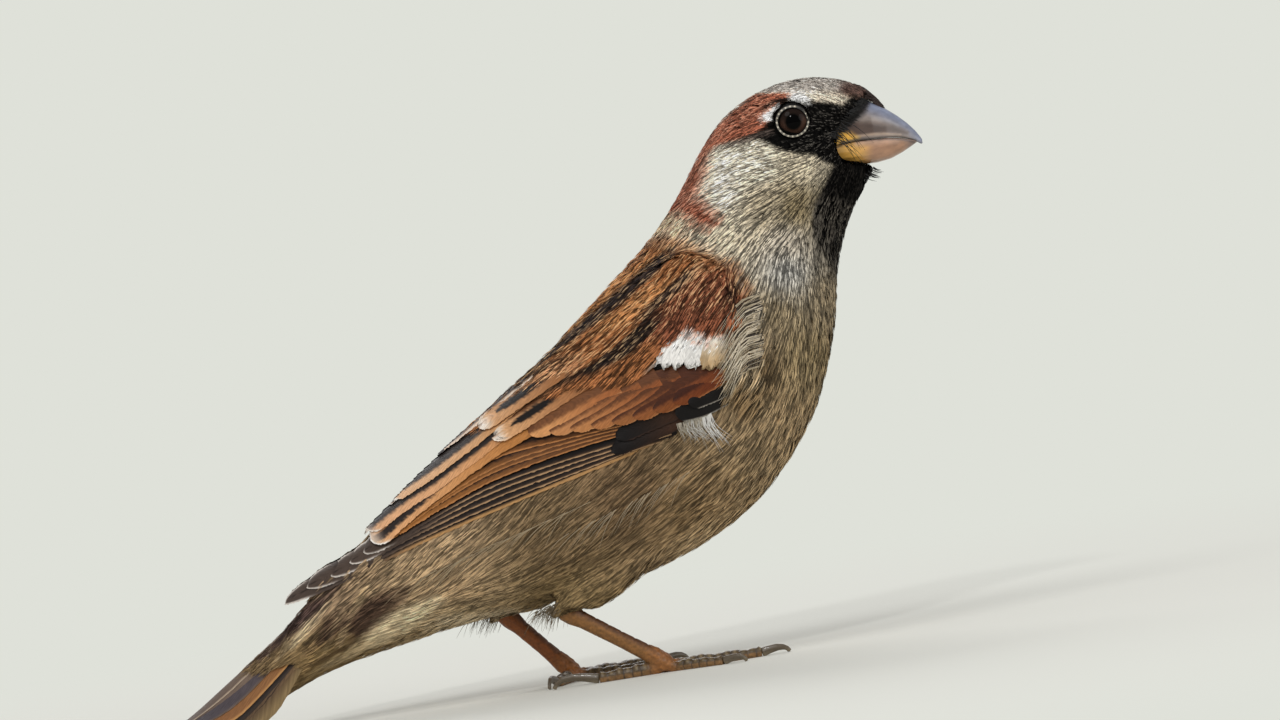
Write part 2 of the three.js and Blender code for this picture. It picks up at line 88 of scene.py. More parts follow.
# ---- small mathematics -------------------------------------------------------------------------
def unit(vectors):
    return vectors / np.maximum(np.linalg.norm(vectors, axis=-1, keepdims=True), 1e-9)


def step(low, high, value):
    """0 below low, 1 above high, and smooth between."""
    t = np.clip((value - low) / (high - low), 0, 1)
    return t * t * (3 - 2 * t)


def mix(a, b, share):
    """From a to b, where share has a number for each row of them."""
    share = np.asarray(share)[..., None]
    return a * (1 - share) + b * share


def near_line(x, z, start, end):
    """(the nearest point's share of the way from start to end, the distance from it)"""
    (ax, az), (bx, bz) = start, end
    dx, dz = bx - ax, bz - az
    t = np.clip(((x - ax) * dx + (z - az) * dz) / (dx * dx + dz * dz), 0, 1)
    return t, np.hypot(x - ax - t * dx, z - az - t * dz)


class Ripple:
    """Smooth noise, mostly from -1 to 1, with features about as wide as its wavelength."""

    WAVES = 20

    def __init__(self, wavelength):
        directions = unit(rng.normal(size=(self.WAVES, 3)))
        self.waves = directions * rng.uniform(0.6, 1.5, (self.WAVES, 1)) * 2 * np.pi / wavelength
        self.phases = rng.uniform(0, 2 * np.pi, self.WAVES)

    def __call__(self, points):
        return np.sin(points @ self.waves.T + self.phases).sum(1) / 5


class Strands:
    """Noise drawn out along the lie of the coat: light and dark strands about as wide as the grain and
    twice as long as the reach."""

    PRIMES = np.array((73856093, 19349663, 83492791))  # spread the cells over the table of values

    def __init__(self, grain, reach):
        self.grain, self.steps = grain, np.arange(-reach, reach, 0.9 * grain)
        self.values = rng.normal(size=1 << 16) / math.sqrt(len(self.steps))

    def __call__(self, places, ways):
        total = np.zeros(places.shape[:-1])
        for along in self.steps:
            cell = np.floor((places + ways * along) / self.grain).astype(np.int64)
            total += self.values[np.bitwise_xor.reduce(cell * self.PRIMES, axis=-1) & 0xFFFF]
        return total


def curve_through(knots, shares):
    """Points at shares (0 to 1) of the length of a smooth curve through the knots."""
    knots = np.asarray(knots, float)
    ends = np.concatenate([2 * knots[:1] - knots[1:2], knots, 2 * knots[-1:] - knots[-2:-1]])
    fine = []
    for a, b, c, d in zip(ends[:-3], ends[1:-2], ends[2:-1], ends[3:]):
        t = np.linspace(0, 1, 24, endpoint=False)[:, None]
        bend = (2 * a - 5 * b + 4 * c - d) * t**2
        fine.append(0.5 * (2 * b + (c - a) * t + bend + (3 * b - a - 3 * c + d) * t**3))
    fine = np.concatenate([*fine, knots[-1:]])
    length = np.concatenate([[0], np.cumsum(np.linalg.norm(np.diff(fine, axis=0), axis=1))])
    at = np.asarray(shares) * length[-1]
    return np.stack([np.interp(at, length, fine[:, i]) for i in range(knots.shape[1])], -1)


def curve_length(knots):
    points = curve_through(knots, np.linspace(0, 1, 60))
    return float(np.linalg.norm(np.diff(points, axis=0), axis=1).sum())


# ---- colours and meshes from arrays ------------------------------------------------------------
def linear(colour):
    """sRGB values from 0 to 1, as linear ones."""
    colour = np.clip(np.asarray(colour, float), 0, 1)
    return np.where(colour <= 0.04045, colour / 12.92, ((colour + 0.055) / 1.055) ** 2.4)


def hue(text):
    """The sRGB values from 0 to 1 of a hexadecimal colour."""
    return np.array([int(text[i : i + 2], 16) / 255 for i in (0, 2, 4)])


def layered(colour, *layers):
    """The colour with layers of (hexadecimal colour, share) over it, in order."""
    for tone, share in layers:
        colour = mix(colour, hue(tone), share)
    return colour


def grid_quads(rows, columns, start=0):
    """The quads between rows of points that are closed rings, where start is the first point's number."""
    grid = np.arange(rows * columns).reshape(rows, columns) + start
    following = np.roll(grid, -1, 1)
    return np.stack([grid[:-1], following[:-1], following[1:], grid[1:]], -1)


def make_mesh(name, points, faces, material, colours, uvs):
    """A piece from points in drawing mm and arrays of faces with three or four corners. Colours are sRGB
    at each point, and uvs maps a layer's name to a place for each point."""
    mesh = bpy.data.meshes.new(name)
    corners = np.concatenate([f.ravel() for f in faces])
    counts = np.concatenate([np.full(len(f), f.shape[1]) for f in faces])
    mesh.vertices.add(len(points))
    mesh.vertices.foreach_set("co", to_row(points).astype(np.float32).ravel())
    mesh.loops.add(len(corners))
    mesh.loops.foreach_set("vertex_index", corners.astype(np.int32))
    mesh.polygons.add(len(counts))
    mesh.polygons.foreach_set("loop_start", (np.cumsum(counts) - counts).astype(np.int32))
    mesh.polygons.foreach_set("use_smooth", np.full(len(counts), True))
    for layer, places in uvs.items():
        data = mesh.uv_layers.new(name=layer).data
        data.foreach_set("uv", np.asarray(places, np.float32)[corners].ravel())
    rgba = np.ones((len(points), 4), np.float32)
    rgba[:, :3] = linear(colours)
    mesh.color_attributes.new("Tint", "FLOAT_COLOR", "POINT").data.foreach_set("color", rgba.ravel())
    mesh.update()
    mesh.materials.append(material)
    made = bpy.data.objects.new(name, mesh)
    bpy.context.scene.collection.objects.link(made)
    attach(made, "root")
    return made


def merged_shape(nodes, voxel, grow, smoothing):
    """(points in drawing mm, quads) of one closed surface round several CAD nodes. They are grown first,
    which closes the gaps between them."""
    points, faces, start = [], [], 0
    for node in nodes:
        p, n, f = node_mesh(node)
        points.append(p + n * grow)
        faces.append(f + start)
        start += len(p)
    mesh = bpy.data.meshes.new("merging")
    mesh.from_pydata(np.concatenate(points).tolist(), [], np.concatenate(faces).tolist())
    rough = bpy.data.objects.new("merging", mesh)
    bpy.context.scene.collection.objects.link(rough)
    remesh = rough.modifiers.new("remesh", "REMESH")
    remesh.mode, remesh.voxel_size = "VOXEL", voxel
    smooth = rough.modifiers.new("smooth", "SMOOTH")
    smooth.factor, smooth.iterations = 0.5, smoothing
    done = rough.evaluated_get(bpy.context.evaluated_depsgraph_get()).to_mesh()
    vertices = np.empty(len(done.vertices) * 3, np.float32)
    done.vertices.foreach_get("co", vertices)
    quads = np.array([p.vertices[:] for p in done.polygons if len(p.vertices) == 4])
    bpy.data.objects.remove(rough)
    bpy.data.meshes.remove(mesh)
    return vertices.reshape(-1, 3).astype(float), quads


def point_normals(points, quads):
    across = np.cross(points[quads[:, 2]] - points[quads[:, 0]], points[quads[:, 3]] - points[quads[:, 1]])
    normals = np.zeros_like(points)
    for corner in range(4):
        np.add.at(normals, quads[:, corner], across)
    return unit(normals)


class Surface:
    """A closed surface that can be asked for its nearest point, or for where a ray meets it."""

    RAY_START = -60.0  # further to the right than any surface
    COLUMN = 0.5  # the step along X at which the surface's top is looked up
    BRINK = 0.25  # how far under the top a ray along +Y may still pass

    def __init__(self, points, quads):
        self.points, self.quads = points, quads
        self.normals = point_normals(points, quads)
        self.tree = BVHTree.FromPolygons(points.tolist(), quads.tolist())

    def moved(self, distance):
        """The same surface moved out along its normals, by one distance or by one for each point."""
        far = np.broadcast_to(distance, len(self.points))[:, None]
        return Surface(self.points + self.normals * far, self.quads)

    def met(self, hits):
        """(points, smooth normals there) of what the tree found."""
        corners = self.quads[[hit[2] for hit in hits]]
        return np.array([hit[0] for hit in hits]), unit(self.normals[corners].mean(1))

    def nearest(self, places):
        return self.met([self.tree.find_nearest(p) for p in places.tolist()])

    def from_right(self, x, z):
        """Where rays along +Y from the bird's right first meet the surface. Places above its outline carry
        on over the top, towards the middle."""
        columns = np.arange(math.floor(x.min()) - 1, math.ceil(x.max()) + 2, self.COLUMN)
        tops = [self.points[np.abs(self.points[:, 0] - c) < 0.7, 2].max(initial=-9) for c in columns]
        brink = np.interp(x, columns, tops) - self.BRINK
        hits = []
        for a, b, top in zip(x.tolist(), z.tolist(), brink.tolist()):
            hit = self.tree.ray_cast((a, self.RAY_START, min(b, top)), (0, 1, 0))
            if hit[0] is None:
                hit = self.tree.find_nearest((a, -5.0, min(b, top)))
            if b > top:
                above = (a, min(hit[0].y + (b - top), -0.3), top + 9)
                over = self.tree.ray_cast(above, (0, 0, -1))
                hit = over if over[0] is not None else hit
            hits.append(hit)
        return self.met(hits)


# ---- materials ---------------------------------------------------------------------------------
def new_node(tree, kind, settings=(), **inputs):
    """A shader node with its settings, and constants on its inputs."""
    node = tree.nodes.new(f"ShaderNode{kind}")
    for name, value in dict(settings).items():
        setattr(node, name, value)
    for name, value in inputs.items():
        node.inputs[name.replace("_", " ")].default_value = value
    return node


def join(tree, *links):
    """Makes links of (node, its output, node, its input)."""
    for start, output, end, socket in links:
        tree.links.new(start.outputs[output], end.inputs[socket])


def new_material(name, **values):
    """A Principled material. The values are constants on the shader's own sockets."""
    material = bpy.data.materials.new(name)
    material.use_nodes = True
    shader = material.node_tree.nodes["Principled BSDF"]
    for socket, value in values.items():
        shader.inputs[socket.replace("_", " ")].default_value = value
    return material, material.node_tree, shader


def tinted_material(name, roughness, grain, stretch, contrast, bump, layer=None, **values):
    """The piece's own colours with a fine grain over them. The grain is so many mm wide and is drawn out
    by stretch, along the named UV layer's first axis, or else in place."""
    material, tree, shader = new_material(name, Roughness=roughness, **values)
    tint = new_node(tree, "VertexColor", {"layer_name": "Tint"})
    if layer:
        place, output, per = new_node(tree, "UVMap", {"uv_map": layer}), "UV", 1 / grain
    else:
        place, output, per = new_node(tree, "TexCoord"), "Object", 1000 / grain
    scale = new_node(tree, "Mapping", Scale=tuple(per * s for s in stretch))
    noise = new_node(tree, "TexNoise", Scale=1, Detail=2)
    level = new_node(tree, "MapRange", From_Min=0.3, From_Max=0.7, To_Min=1 - contrast, To_Max=1 + contrast)
    grained = new_node(tree, "VectorMath", {"operation": "SCALE"})
    join(tree, (place, output, scale, "Vector"), (scale, "Vector", noise, "Vector"),
         (noise, "Fac", level, "Value"), (tint, "Color", grained, 0), (level, "Result", grained, "Scale"),
         (grained, "Vector", shader, "Base Color"))
    if bump:
        relief = new_node(tree, "Bump", Strength=bump, Distance=0.0001)
        join(tree, (noise, "Fac", relief, "Height"), (relief, "Normal", shader, "Normal"))
    return material


EVEN = (1, 1, 1)
COAT = tinted_material("coat", 0.7, 0.25, EVEN, 0.1, 0.0, Specular_IOR_Level=0.05)
SKIN = tinted_material("skin", 0.8, 0.4, EVEN, 0.25, 0.4, Specular_IOR_Level=0.05)
VANE = tinted_material("vane", 0.5, 0.16, (0.12, 1, 1), 0.22, 0.45, layer="Barbs", Specular_IOR_Level=0.15)

# ---- markings, as seen from the right; both sides carry them ------------------------------------
# Ground colours: (x, z, colour) at the middle of each region. They blend into each other.
GROUND = {
    "cheek_front": (36, 75.5, "b5aa94"),
    "cheek": (28, 76.5, "cac0ac"),
    "cheek_rear": (21.5, 74.5, "dad1bf"),
    "cheek_low": (29, 70, "988c76"),
    "by_the_bib": (33.3, 69, "75684f"),
    "collar": (22, 66, "b4a994"),
    "collar_front": (31, 64, "a1988a"),
    "neck_side": (30, 59, "a9a69f"),
    "neck_low": (27.5, 53, "85765d"),
    "wing_front": (23, 51, "9c8a70"),
    "wing_front_low": (22.5, 45, "6d5a41"),
    "nape_foot": (11.5, 69, "c7ae92"),
    "breast_top": (36, 54, "887a63"),
    "breast": (31, 46, "8b7a5c"),
    "breast_low": (26, 36, "9a8465"),
    "belly": (8, 25, "836c4e"),
    # painted light: the lower belly's buff is made paler, as if lit by light bounced up from the ground
    "belly_low_painted_light": (10, 18.5, "a68f6e"),
    "under_the_wing_painted_shade": (0, 29, "705b43"),
    "flank": (-12, 24, "776349"),
    # painted shade: the flank is darker where the folded wing shades it
    "flank_rear": (-30, 20, "9f8768"),
    "vent": (-30, 12, "ab9674"),
    "undertail": (-50, 11, "806a48"),
    "overtail": (-50, 20, "8c765d"),
    "rump": (-32, 37, "806c57"),
    "thigh": (-12, 13, "867150"),
}

BACK_OUTLINE = [
    (24, 57), (22.3, 61.5), (17.5, 64.5), (11.5, 67.6), (5, 67), (-12, 57), (-27, 46), (-26, 42),
    (-20, 43.5), (-9, 47.6), (0, 48.6), (6, 48.4), (14, 47.8), (20, 47.6), (20, 52),
]


def depth_inside(outline, places):
    """How many mm the places are inside a side-view outline, less than zero outside it."""
    x, z = places[:, 0], places[:, 2]
    apart = np.full(len(places), 1e9)
    within = np.zeros(len(places), bool)
    for (ax, az), (bx, bz) in zip(outline, np.roll(outline, -1, 0)):
        apart = np.minimum(apart, near_line(x, z, (ax, az), (bx, bz))[1])
        if az != bz:
            within ^= ((az > z) != (bz > z)) & (x < (bx - ax) * (z - az) / (bz - az) + ax)
    return np.where(within, apart, -apart)


class Patch:
    """A marking inside a side-view outline."""

    def __init__(self, colour, outline, soft=0.5, strength=1.0):
        self.colour, self.outline = hue(colour), np.array(outline, float)
        self.soft, self.strength = soft, strength

    def share(self, places):
        return self.strength * step(-self.soft, self.soft, depth_inside(self.outline, places))


class Streak:
    """A marking along a side-view line, so wide at its start, middle and end."""

    def __init__(self, colour, line, widths, soft=0.35, strength=1.0):
        self.colour, self.soft, self.strength = hue(colour), soft, strength
        shares = np.linspace(0, 1, 13)
        self.points = curve_through(line, shares)
        self.halves = np.interp(shares, np.linspace(0, 1, len(widths)), widths) / 2

    def share(self, places):
        spare = np.full(len(places), -1e9)
        for a, b, half_a, half_b in zip(self.points[:-1], self.points[1:], self.halves[:-1], self.halves[1:]):
            t, gap = near_line(places[:, 0], places[:, 2], a, b)
            spare = np.maximum(spare, half_a + (half_b - half_a) * t - gap)
        return self.strength * step(-self.soft, self.soft, spare)


MARKS = (
    # the head
    Patch("d2c9be", [(49.5, 84.4), (47.5, 87.5), (40, 91), (28.6, 91), (28.6, 87.8), (33.5, 87.3), (36, 86.7),
            (38.5, 86.3), (44, 85.8), (46.6, 84.6)], 0.4),
    Patch("925843", [(36, 86.7), (33.5, 87.3), (28.6, 87.8), (26.5, 89.5), (17, 84), (10, 73.5), (10.5, 71),
            (14.5, 71.6), (16.1, 70.6), (17.4, 69.0), (20.4, 67.8), (21.5, 69.2), (20.2, 70.7), (19.3, 72),
            (18, 73.3), (18.6, 74.6), (19.9, 76.5), (20.6, 79.1), (22.2, 80.7), (27.4, 81.2), (30.6, 81.8),
            (31.6, 84.4), (33, 85.3), (35, 85.8)], 0.35),
    Patch("4c3029", [(42.8, 85.7), (44, 87.2), (46.6, 86.9), (48.2, 85), (46.8, 83.8), (45.2, 84.4)],
          0.8, 0.8),
    Patch("bfb3a3", [(37.6, 86), (40, 86.8), (43.6, 85.7), (44.6, 84.5), (43, 83.8), (40.5, 84.5),
            (38.3, 85)], 0.55, 0.8),
    Patch("0a0908", [(47.4, 83.9), (45, 84.8), (43.2, 83.7), (41, 84.4), (38.5, 85), (36.5, 85.3), (33, 85.3),
            (31.4, 83.6), (30.2, 82), (27.5, 81.4), (27.6, 80.9), (29.7, 80.5), (31, 79.3), (33, 78.1),
            (35.5, 77.4), (37.6, 76.7), (38.8, 75.4), (40.6, 74.4), (46, 73.6), (48.4, 75), (48.4, 83)], 0.3),
    Streak("4a403a", [(31, 81.4), (27.5, 80.9), (24.2, 80.3)], (1.2, 0.8, 0.4), 0.3, 0.85),
    Streak("1b1613", [(30.4, 84.9), (32.4, 85.9), (34.8, 86), (36, 85.2)], (0.4, 0.7, 0.6), 0.2, 0.9),
    Patch("f8f6f2", [(35.0, 85.2), (35.3, 86.8), (36.8, 86.8), (38.5, 85.4), (37.6, 84.6)], 0.15),
    Patch("f8f6f2", [(33.9, 85.5), (32.4, 85.2), (30.3, 84.2), (30.2, 83.1), (31.9, 83.2), (33.0, 84.0),
            (33.7, 84.7)], 0.12),
    # the throat and breast
    Patch("060504", [(48.5, 74.2), (48, 72.6), (44.6, 68), (41.6, 63.2), (39.6, 59), (38.4, 56.6), (37, 58.6),
            (36.5, 61), (35.4, 63.3), (35.2, 65.5), (35.6, 67), (36.5, 69.3), (37.8, 71.2), (39.2, 73),
            (40.5, 74.9), (44, 75.4)], 0.45),
    Streak("4c3d2c", [(35.6, 50.4), (35, 47.4), (34.5, 44.6)], (0.3, 0.7, 0.3), 0.3, 0.6),
    Streak("54452f", [(33.4, 48), (32.8, 44)], (0.3, 0.6, 0.3), 0.3, 0.5),
    # the back and the fore wing
    Patch("8a5937", [*BACK_OUTLINE[:8], (-20, 41), (-9, 43.5), (0, 44), (6, 43.5), (14, 43), (19, 46),
            (20, 52)], 0.8),
    Patch("b9824f", [(13, 66.4), (3, 62.6), (-9, 54.6), (-20, 47), (-13, 49.4), (0, 57.4), (10, 63.4)],
          0.6, 0.8),
    Patch("744632", [(23, 57), (21.8, 61.6), (16, 61.6), (9, 57.2), (6, 52.6), (10, 50.5), (19, 50.8)], 1.2),
    Patch("b07c4e", [(13, 61.6), (8, 60.4), (2, 57.4), (-2, 54.4), (4, 55), (9, 58.3)], 0.6, 0.8),
    Patch("b98b66", [(-5, 52), (-11, 50.6), (-24, 43.6), (-20, 43), (-10, 47), (-4, 49)], 0.8, 0.8),
    Patch("7e5233", [(8, 53), (3, 49.6), (-6, 47.4), (-2, 46.6), (6, 47), (9, 49)], 0.6, 0.8),
    Streak("302826", [(12, 65), (8.3, 62.7), (1.8, 58.6), (-4.3, 55.2), (-8.6, 52.7), (-14.8, 49)],
           (1.7, 1.8, 1.5, 0.9, 0.5), 0.25),
    Streak("332a26", [(16.2, 62.2), (12.5, 60), (8.6, 57.6), (6.8, 56)], (1.5, 1.6, 1.0), 0.35, 0.9),
    Streak("241d1a", [(8.4, 55.6), (5, 53), (1, 50.8), (-3, 49.3), (-9, 47.8)],
           (1.9, 2.6, 1.8, 1.0, 0.5), 0.3),
    Streak("2a221d", [(6.6, 66.4), (-2, 60.6), (-10, 54.8), (-18, 48.5), (-25, 43.6)],
           (1.0, 0.8, 0.9, 0.9, 0.7), 0.25, 0.9),
    Streak("2d241f", [(-7.5, 51.6), (-12, 49.9), (-17, 46.9), (-21.5, 44.7)], (0.5, 0.7, 0.5), 0.2, 0.8),
    Streak("1c1513", [(22.2, 59.2), (20.6, 57.4), (20.4, 56.2)], (1.2, 2.2, 1.0), 0.6, 0.8),
    Patch("e4e1dc", [(6.4, 48.3), (8, 49.3), (10.4, 51.3), (12.6, 53), (14.2, 52.2), (15.5, 51), (20.3, 50.8),
            (20.6, 48.4), (17, 46.9), (9, 47.2)], 0.3),
    Patch("c9b795", [(16.6, 50.4), (20.8, 50.4), (20.8, 47), (15, 46)], 0.9, 0.75),
    # the coverts over and under the tail
    Streak("b39c77", [(-44.5, 20.2), (-47.4, 17), (-50, 12.4)], (1.0, 1.4, 0.9), 0.4, 0.8),
    Streak("44342a", [(-38.2, 19.4), (-42.0, 17.6), (-46.6, 14.8)], (1.6, 4.6, 3.0), 0.6, 0.95),
    Streak("4a3a2e", [(-47.6, 18.0), (-50.2, 15.8), (-52.6, 13.4)], (1.4, 3.0, 1.4), 0.4, 0.95),
    Streak("c9b897", [(-51.2, 18.8), (-54, 16.2), (-57.8, 12.9)], (0.9, 1.8, 0.9), 0.4, 0.7),
    Streak("4a3a37", [(-48.5, 21.4), (-53, 18.7), (-58, 15.3), (-63, 12)], (0.9, 2.0, 1.4, 0.8), 0.4, 0.9),
    Streak("dcc8a4", [(-33.6, 16.9), (-38.5, 15.0), (-45.5, 12.1)], (2.0, 4.2, 2.0), 0.6, 1.0),
    Streak("c0b198", [(-33.5, 13.9), (-27, 13.0), (-21, 12.9)], (1.6, 2.2, 1.4), 0.7, 0.75),
    Streak("b8a482", [(-42, 12.6), (-47, 11.2), (-53, 9.4)], (1.2, 1.6, 0.8), 0.5, 0.7),
    Streak("5d4a34", [(-46, 12.9), (-50, 11.6), (-55, 10)], (0.4, 0.9, 0.5), 0.3, 0.7),
)
BACK_FRINGE = [*BACK_OUTLINE[:10], (2, 49.6), (7, 52), (12, 55), (22, 53.5)]
FRINGES = (  # light or dark strands, and from what level of the strands' noise they show
    (Patch("a1988a", [(35, 68.5), (38, 70), (42, 68), (46, 66), (40, 54), (34.5, 57)], 1.5), 0.15),
    (Patch("e8c08e", BACK_FRINGE, 0.8), 1.05),
    (Patch("3c2618", BACK_FRINGE, 0.8), -1.15),
    (Patch("3d3833", [(48.5, 74.5), (37, 75), (35, 68), (38, 58), (46, 66)], 1.0), 0.9),
    (Patch("77726a", [(47, 84.5), (43, 83.7), (36, 85.6), (31, 81), (34, 77.5), (41, 74), (46, 80)],
           0.5), 1.15),
    (Patch("3a332e", [(47.6, 84.4), (43.5, 85.5), (38, 87), (30, 88), (28, 90), (40, 91), (49, 87)],
           0.3), 0.75),
    (Patch("d9a77c", [(22, 57), (21.8, 61.6), (16, 62), (9, 57.2), (8, 54), (12, 55), (20, 53.4)],
           1.0), 0.95),
    # painted highlight: light strands over the chestnut stand for light caught on its barbs
    (Patch("e0ac90", [(33, 85.5), (28, 88.5), (17, 84), (10, 73.5), (19, 70), (22, 81)], 0.6), 0.9),
)
CROWN_STRIP = "a09386"  # the crown's grey runs back along the head's middle, out of the side view
CROWN_MOTTLE = Ripple(1.1)
BODY_MOTTLE = Ripple(5.0)


def marked(colour, places, marks):
    for mark in marks:
        colour = mix(colour, mark.colour, mark.share(places))
    return colour


def plumage(places):
    """The plumage's colour at points in the drawing frame."""
    x, y, z = places.T
    middle = np.array([zone[:2] for zone in GROUND.values()], float)
    near = ((x[:, None] - middle[:, 0]) ** 2 + (z[:, None] - middle[:, 1]) ** 2 + 2.0) ** -1.8
    colour = (near / near.sum(1, keepdims=True)) @ np.array([hue(zone[2]) for zone in GROUND.values()])
    colour = marked(colour * (1 + 0.04 * BODY_MOTTLE(places))[:, None], places, MARKS)
    half_strip = np.interp(x, (20, 29), (0.35, 1.0))
    on_strip = step(3.4, 2.0, np.abs(y) / half_strip) * step(18, 26, x) * step(82, 85, z)
    colour = layered(colour, (CROWN_STRIP, on_strip * step(29.5, 27.5, x) * 0.85))
    grey_crown = step(28, 31, x) * step(86, 87, z)
    return colour * (1 + 0.2 * grey_crown * CROWN_MOTTLE(places * (0.5, 1.6, 1)))[:, None]


# ---- the lie of the coat -------------------------------------------------------------------------
# (x, z, the way feathers point in degrees from +X towards +Z, their length, the coat's depth)
LIE = {
    "forehead": (46.4, 86.2, 140, 1.3, 0.4),
    "nasal_feathers": (48.8, 84.2, 292, 1.6, 0.3),
    "lores_top": (44, 84.0, 152, 1.1, 0.45),
    "lores": (42, 81.8, 178, 1.1, 0.4),
    "crown_front": (43, 87.4, 152, 1.9, 0.8),
    "crown": (36, 88.8, 180, 2.3, 0.9),
    "brow": (40.5, 85.3, 148, 1.7, 0.5),
    "hind_crown": (28.5, 87.6, 199, 2.6, 1.0),
    "temple": (28, 83.5, 196, 2.4, 0.9),
    "round_the_eye": (34.9, 86.4, 182, 1.2, 0.4),
    "under_the_eye": (35, 78.2, 184, 1.3, 0.4),
    "behind_the_eye": (30.3, 82, 190, 1.6, 0.5),
    "gape": (40, 76.5, 206, 1.1, 0.35),
    "ear": (30, 77.2, 184, 2.6, 0.9),
    "ear_rear": (22, 77, 183, 3.0, 1.1),
    "ear_end": (19.5, 73, 196, 3.0, 1.2),
    "cheek": (33, 73.5, 200, 2.7, 0.9),
    "cheek_low": (29, 70.5, 205, 3.0, 1.1),
    "nape": (18.5, 79, 232, 3.0, 1.2),
    "nape_foot": (12, 70.5, 224, 4.2, 1.5),
    "chin": (46, 73.0, 228, 1.4, 0.5),
    "throat": (42, 69.5, 238, 1.9, 0.8),
    "throat_side": (37.5, 70, 222, 2.2, 0.8),
    "bib": (38.5, 62.5, 248, 3.0, 1.2),
    "collar": (30, 65.5, 214, 3.8, 1.4),
    "collar_rear": (20, 67, 220, 4.2, 1.5),
    "collar_front": (35, 63.5, 238, 3.4, 1.2),
    "neck_side": (29, 59, 244, 5.0, 1.6),
    "shoulder": (22.5, 58, 232, 5.0, 1.6),
    "breast_top": (36.5, 53, 258, 5.0, 1.6),
    "breast_front": (33, 42, 248, 6.0, 1.7),
    "breast": (27, 49, 236, 6.0, 1.7),
    "breast_low": (25, 30, 226, 6.5, 1.8),
    "breast_side": (20, 40, 222, 6.5, 1.8),
    "wing_front": (17, 36, 214, 6.5, 1.8),
    "belly_front": (12, 20, 204, 6.5, 1.8),
    "belly": (0, 24, 213, 6.5, 1.8),
    "flank": (-14, 26, 217, 6.5, 1.8),
    "flank_rear": (-28, 23, 212, 6.5, 1.7),
    "thigh": (-10, 15, 205, 4.5, 1.3),
    "thigh_end": (-13, 11.6, 205, 2.2, 0.6),
    "far_thigh_end": (-23, 11.9, 205, 2.2, 0.6),
    "vent": (-25, 14.5, 190, 6.0, 1.6),
    "under_tail_root": (-38, 13, 190, 6.5, 1.5),
    "under_tail": (-53, 9.5, 205, 6.5, 1.0),
    "under_tail_end": (-59, 6, 207, 5.0, 0.6),
    "over_tail": (-50, 21, 210, 8.0, 1.1),
    "rump": (-38, 31, 213, 6.0, 1.5),
    "lower_back": (-20, 45, 214, 6.0, 1.4),
    "mantle_low": (-6, 53, 211, 5.5, 1.4),
    "mantle": (5, 60, 213, 5.0, 1.5),
    "scapulars": (2, 52, 219, 5.0, 1.4),
    "lesser_coverts": (15, 56.5, 233, 3.6, 1.3),
    "median_coverts": (12, 49.8, 226, 4.2, 1.3),
}
LIE_PLACES = np.array([row[:2] for row in LIE.values()])
LIE_TURNS = [math.radians(row[2]) for row in LIE.values()]
LIE_WAYS = np.array([(math.cos(turn), 0, math.sin(turn)) for turn in LIE_TURNS])
LIE_SIZES = np.array([row[3:] for row in LIE.values()])
SWAY, CURL = Ripple(9.0), Ripple(3.2)


def lie_shares(places):
    near = ((places[:, :1] - LIE_PLACES[:, 0]) ** 2 + (places[:, 2:3] - LIE_PLACES[:, 1]) ** 2 + 0.5) ** -2.0
    return near / near.sum(1, keepdims=True)


def lie_way(places, normals):
    """The unit tangent that feathers point along."""
    way = lie_shares(places) @ LIE_WAYS
    way = unit(way - normals * (way * normals).sum(1, keepdims=True))
    turn = np.radians(5 * SWAY(places) + 3 * CURL(places))[:, None]
    return way * np.cos(turn) + np.cross(normals, way) * np.sin(turn)


def coat_size(places):
    """(length, depth) of the coat."""
    return (lie_shares(places) @ LIE_SIZES).T


# ---- the skin, and the surfaces that the coat's tips reach ---------------------------------------
CLOSING = 0.3  # how far the CAD solids are grown to close their gaps


def shape_of(nodes, voxel, smoothing):
    return Surface(*merged_shape(nodes, voxel, CLOSING, smoothing)).moved(-CLOSING)


body_shape = shape_of(BODY + THIGHS, 0.6, 4)
rear_shape = shape_of([*BODY, *THIGHS, "tail"], 0.6, 6)
whole_shape = shape_of([*BODY, *THIGHS, *WINGS], 0.6, 8)
head_shape = shape_of(["head", "neck", "breast", "bill_upper"], 0.5, 3)


HEEL_LEVEL = 12.4
HEEL_DRAW = 0.65  # the share of the way up to it


def drawn_up(surface):
    """The surface with the thighs' ends drawn up round the heels."""
    x, y, z = surface.points.T
    by_heels = step(-27, -25, x) * step(-8, -10, x)
    lift = HEEL_DRAW * by_heels * np.maximum(0, HEEL_LEVEL - z)
    return Surface(np.stack([x, y, z + lift], -1), surface.quads)


skin = drawn_up(body_shape.moved(-coat_size(body_shape.points)[1]))
rear_shape = drawn_up(rear_shape)

# The unwrap that the coat's baked colours use: along a line through the middle of the bird, and round it.
SPINE = ((60, 76), (42, 79), (31, 75), (24, 62), (12, 48), (-8, 36), (-34, 24), (-58, 12), (-66, 7))


def unwrap(places):
    """(mm along the spine, share of a turn round it)"""
    x, z = places[:, 0], places[:, 2]
    best, along, above = np.full(len(x), 1e9), np.zeros(len(x)), np.zeros(len(x))
    start = 0.0
    for (ax, az), (bx, bz) in zip(SPINE[:-1], SPINE[1:]):
        length = math.hypot(bx - ax, bz - az)
        t, gap = near_line(x, z, (ax, az), (bx, bz))
        nearer = gap < best
        best = np.where(nearer, gap, best)
        along = np.where(nearer, start + t * length, along)
        above = np.where(nearer, ((z - az) * (bx - ax) - (x - ax) * (bz - az)) / length, above)
        start += length
    return along, 0.5 + np.arctan2(places[:, 1], above) / (2 * np.pi)


def body_map(places):
    """Places from 0 to 1 on the unwrap, as far along as these places go."""
    along, turn = unwrap(places)
    return 0.01 + 0.98 * np.stack([(along - along.min()) / np.ptp(along), turn], -1)


# ---- the coat: tufts of barbs --------------------------------------------------------------------
BARBS = 10  # in a tuft
BARB_WIDTH = 0.225
RINGS = np.array((0.0, 0.4, 0.78, 1.0))  # where a barb's cross sections are, as shares of its reach
RING_WIDTHS = np.array((0.7, 1.0, 0.85, 0.0))
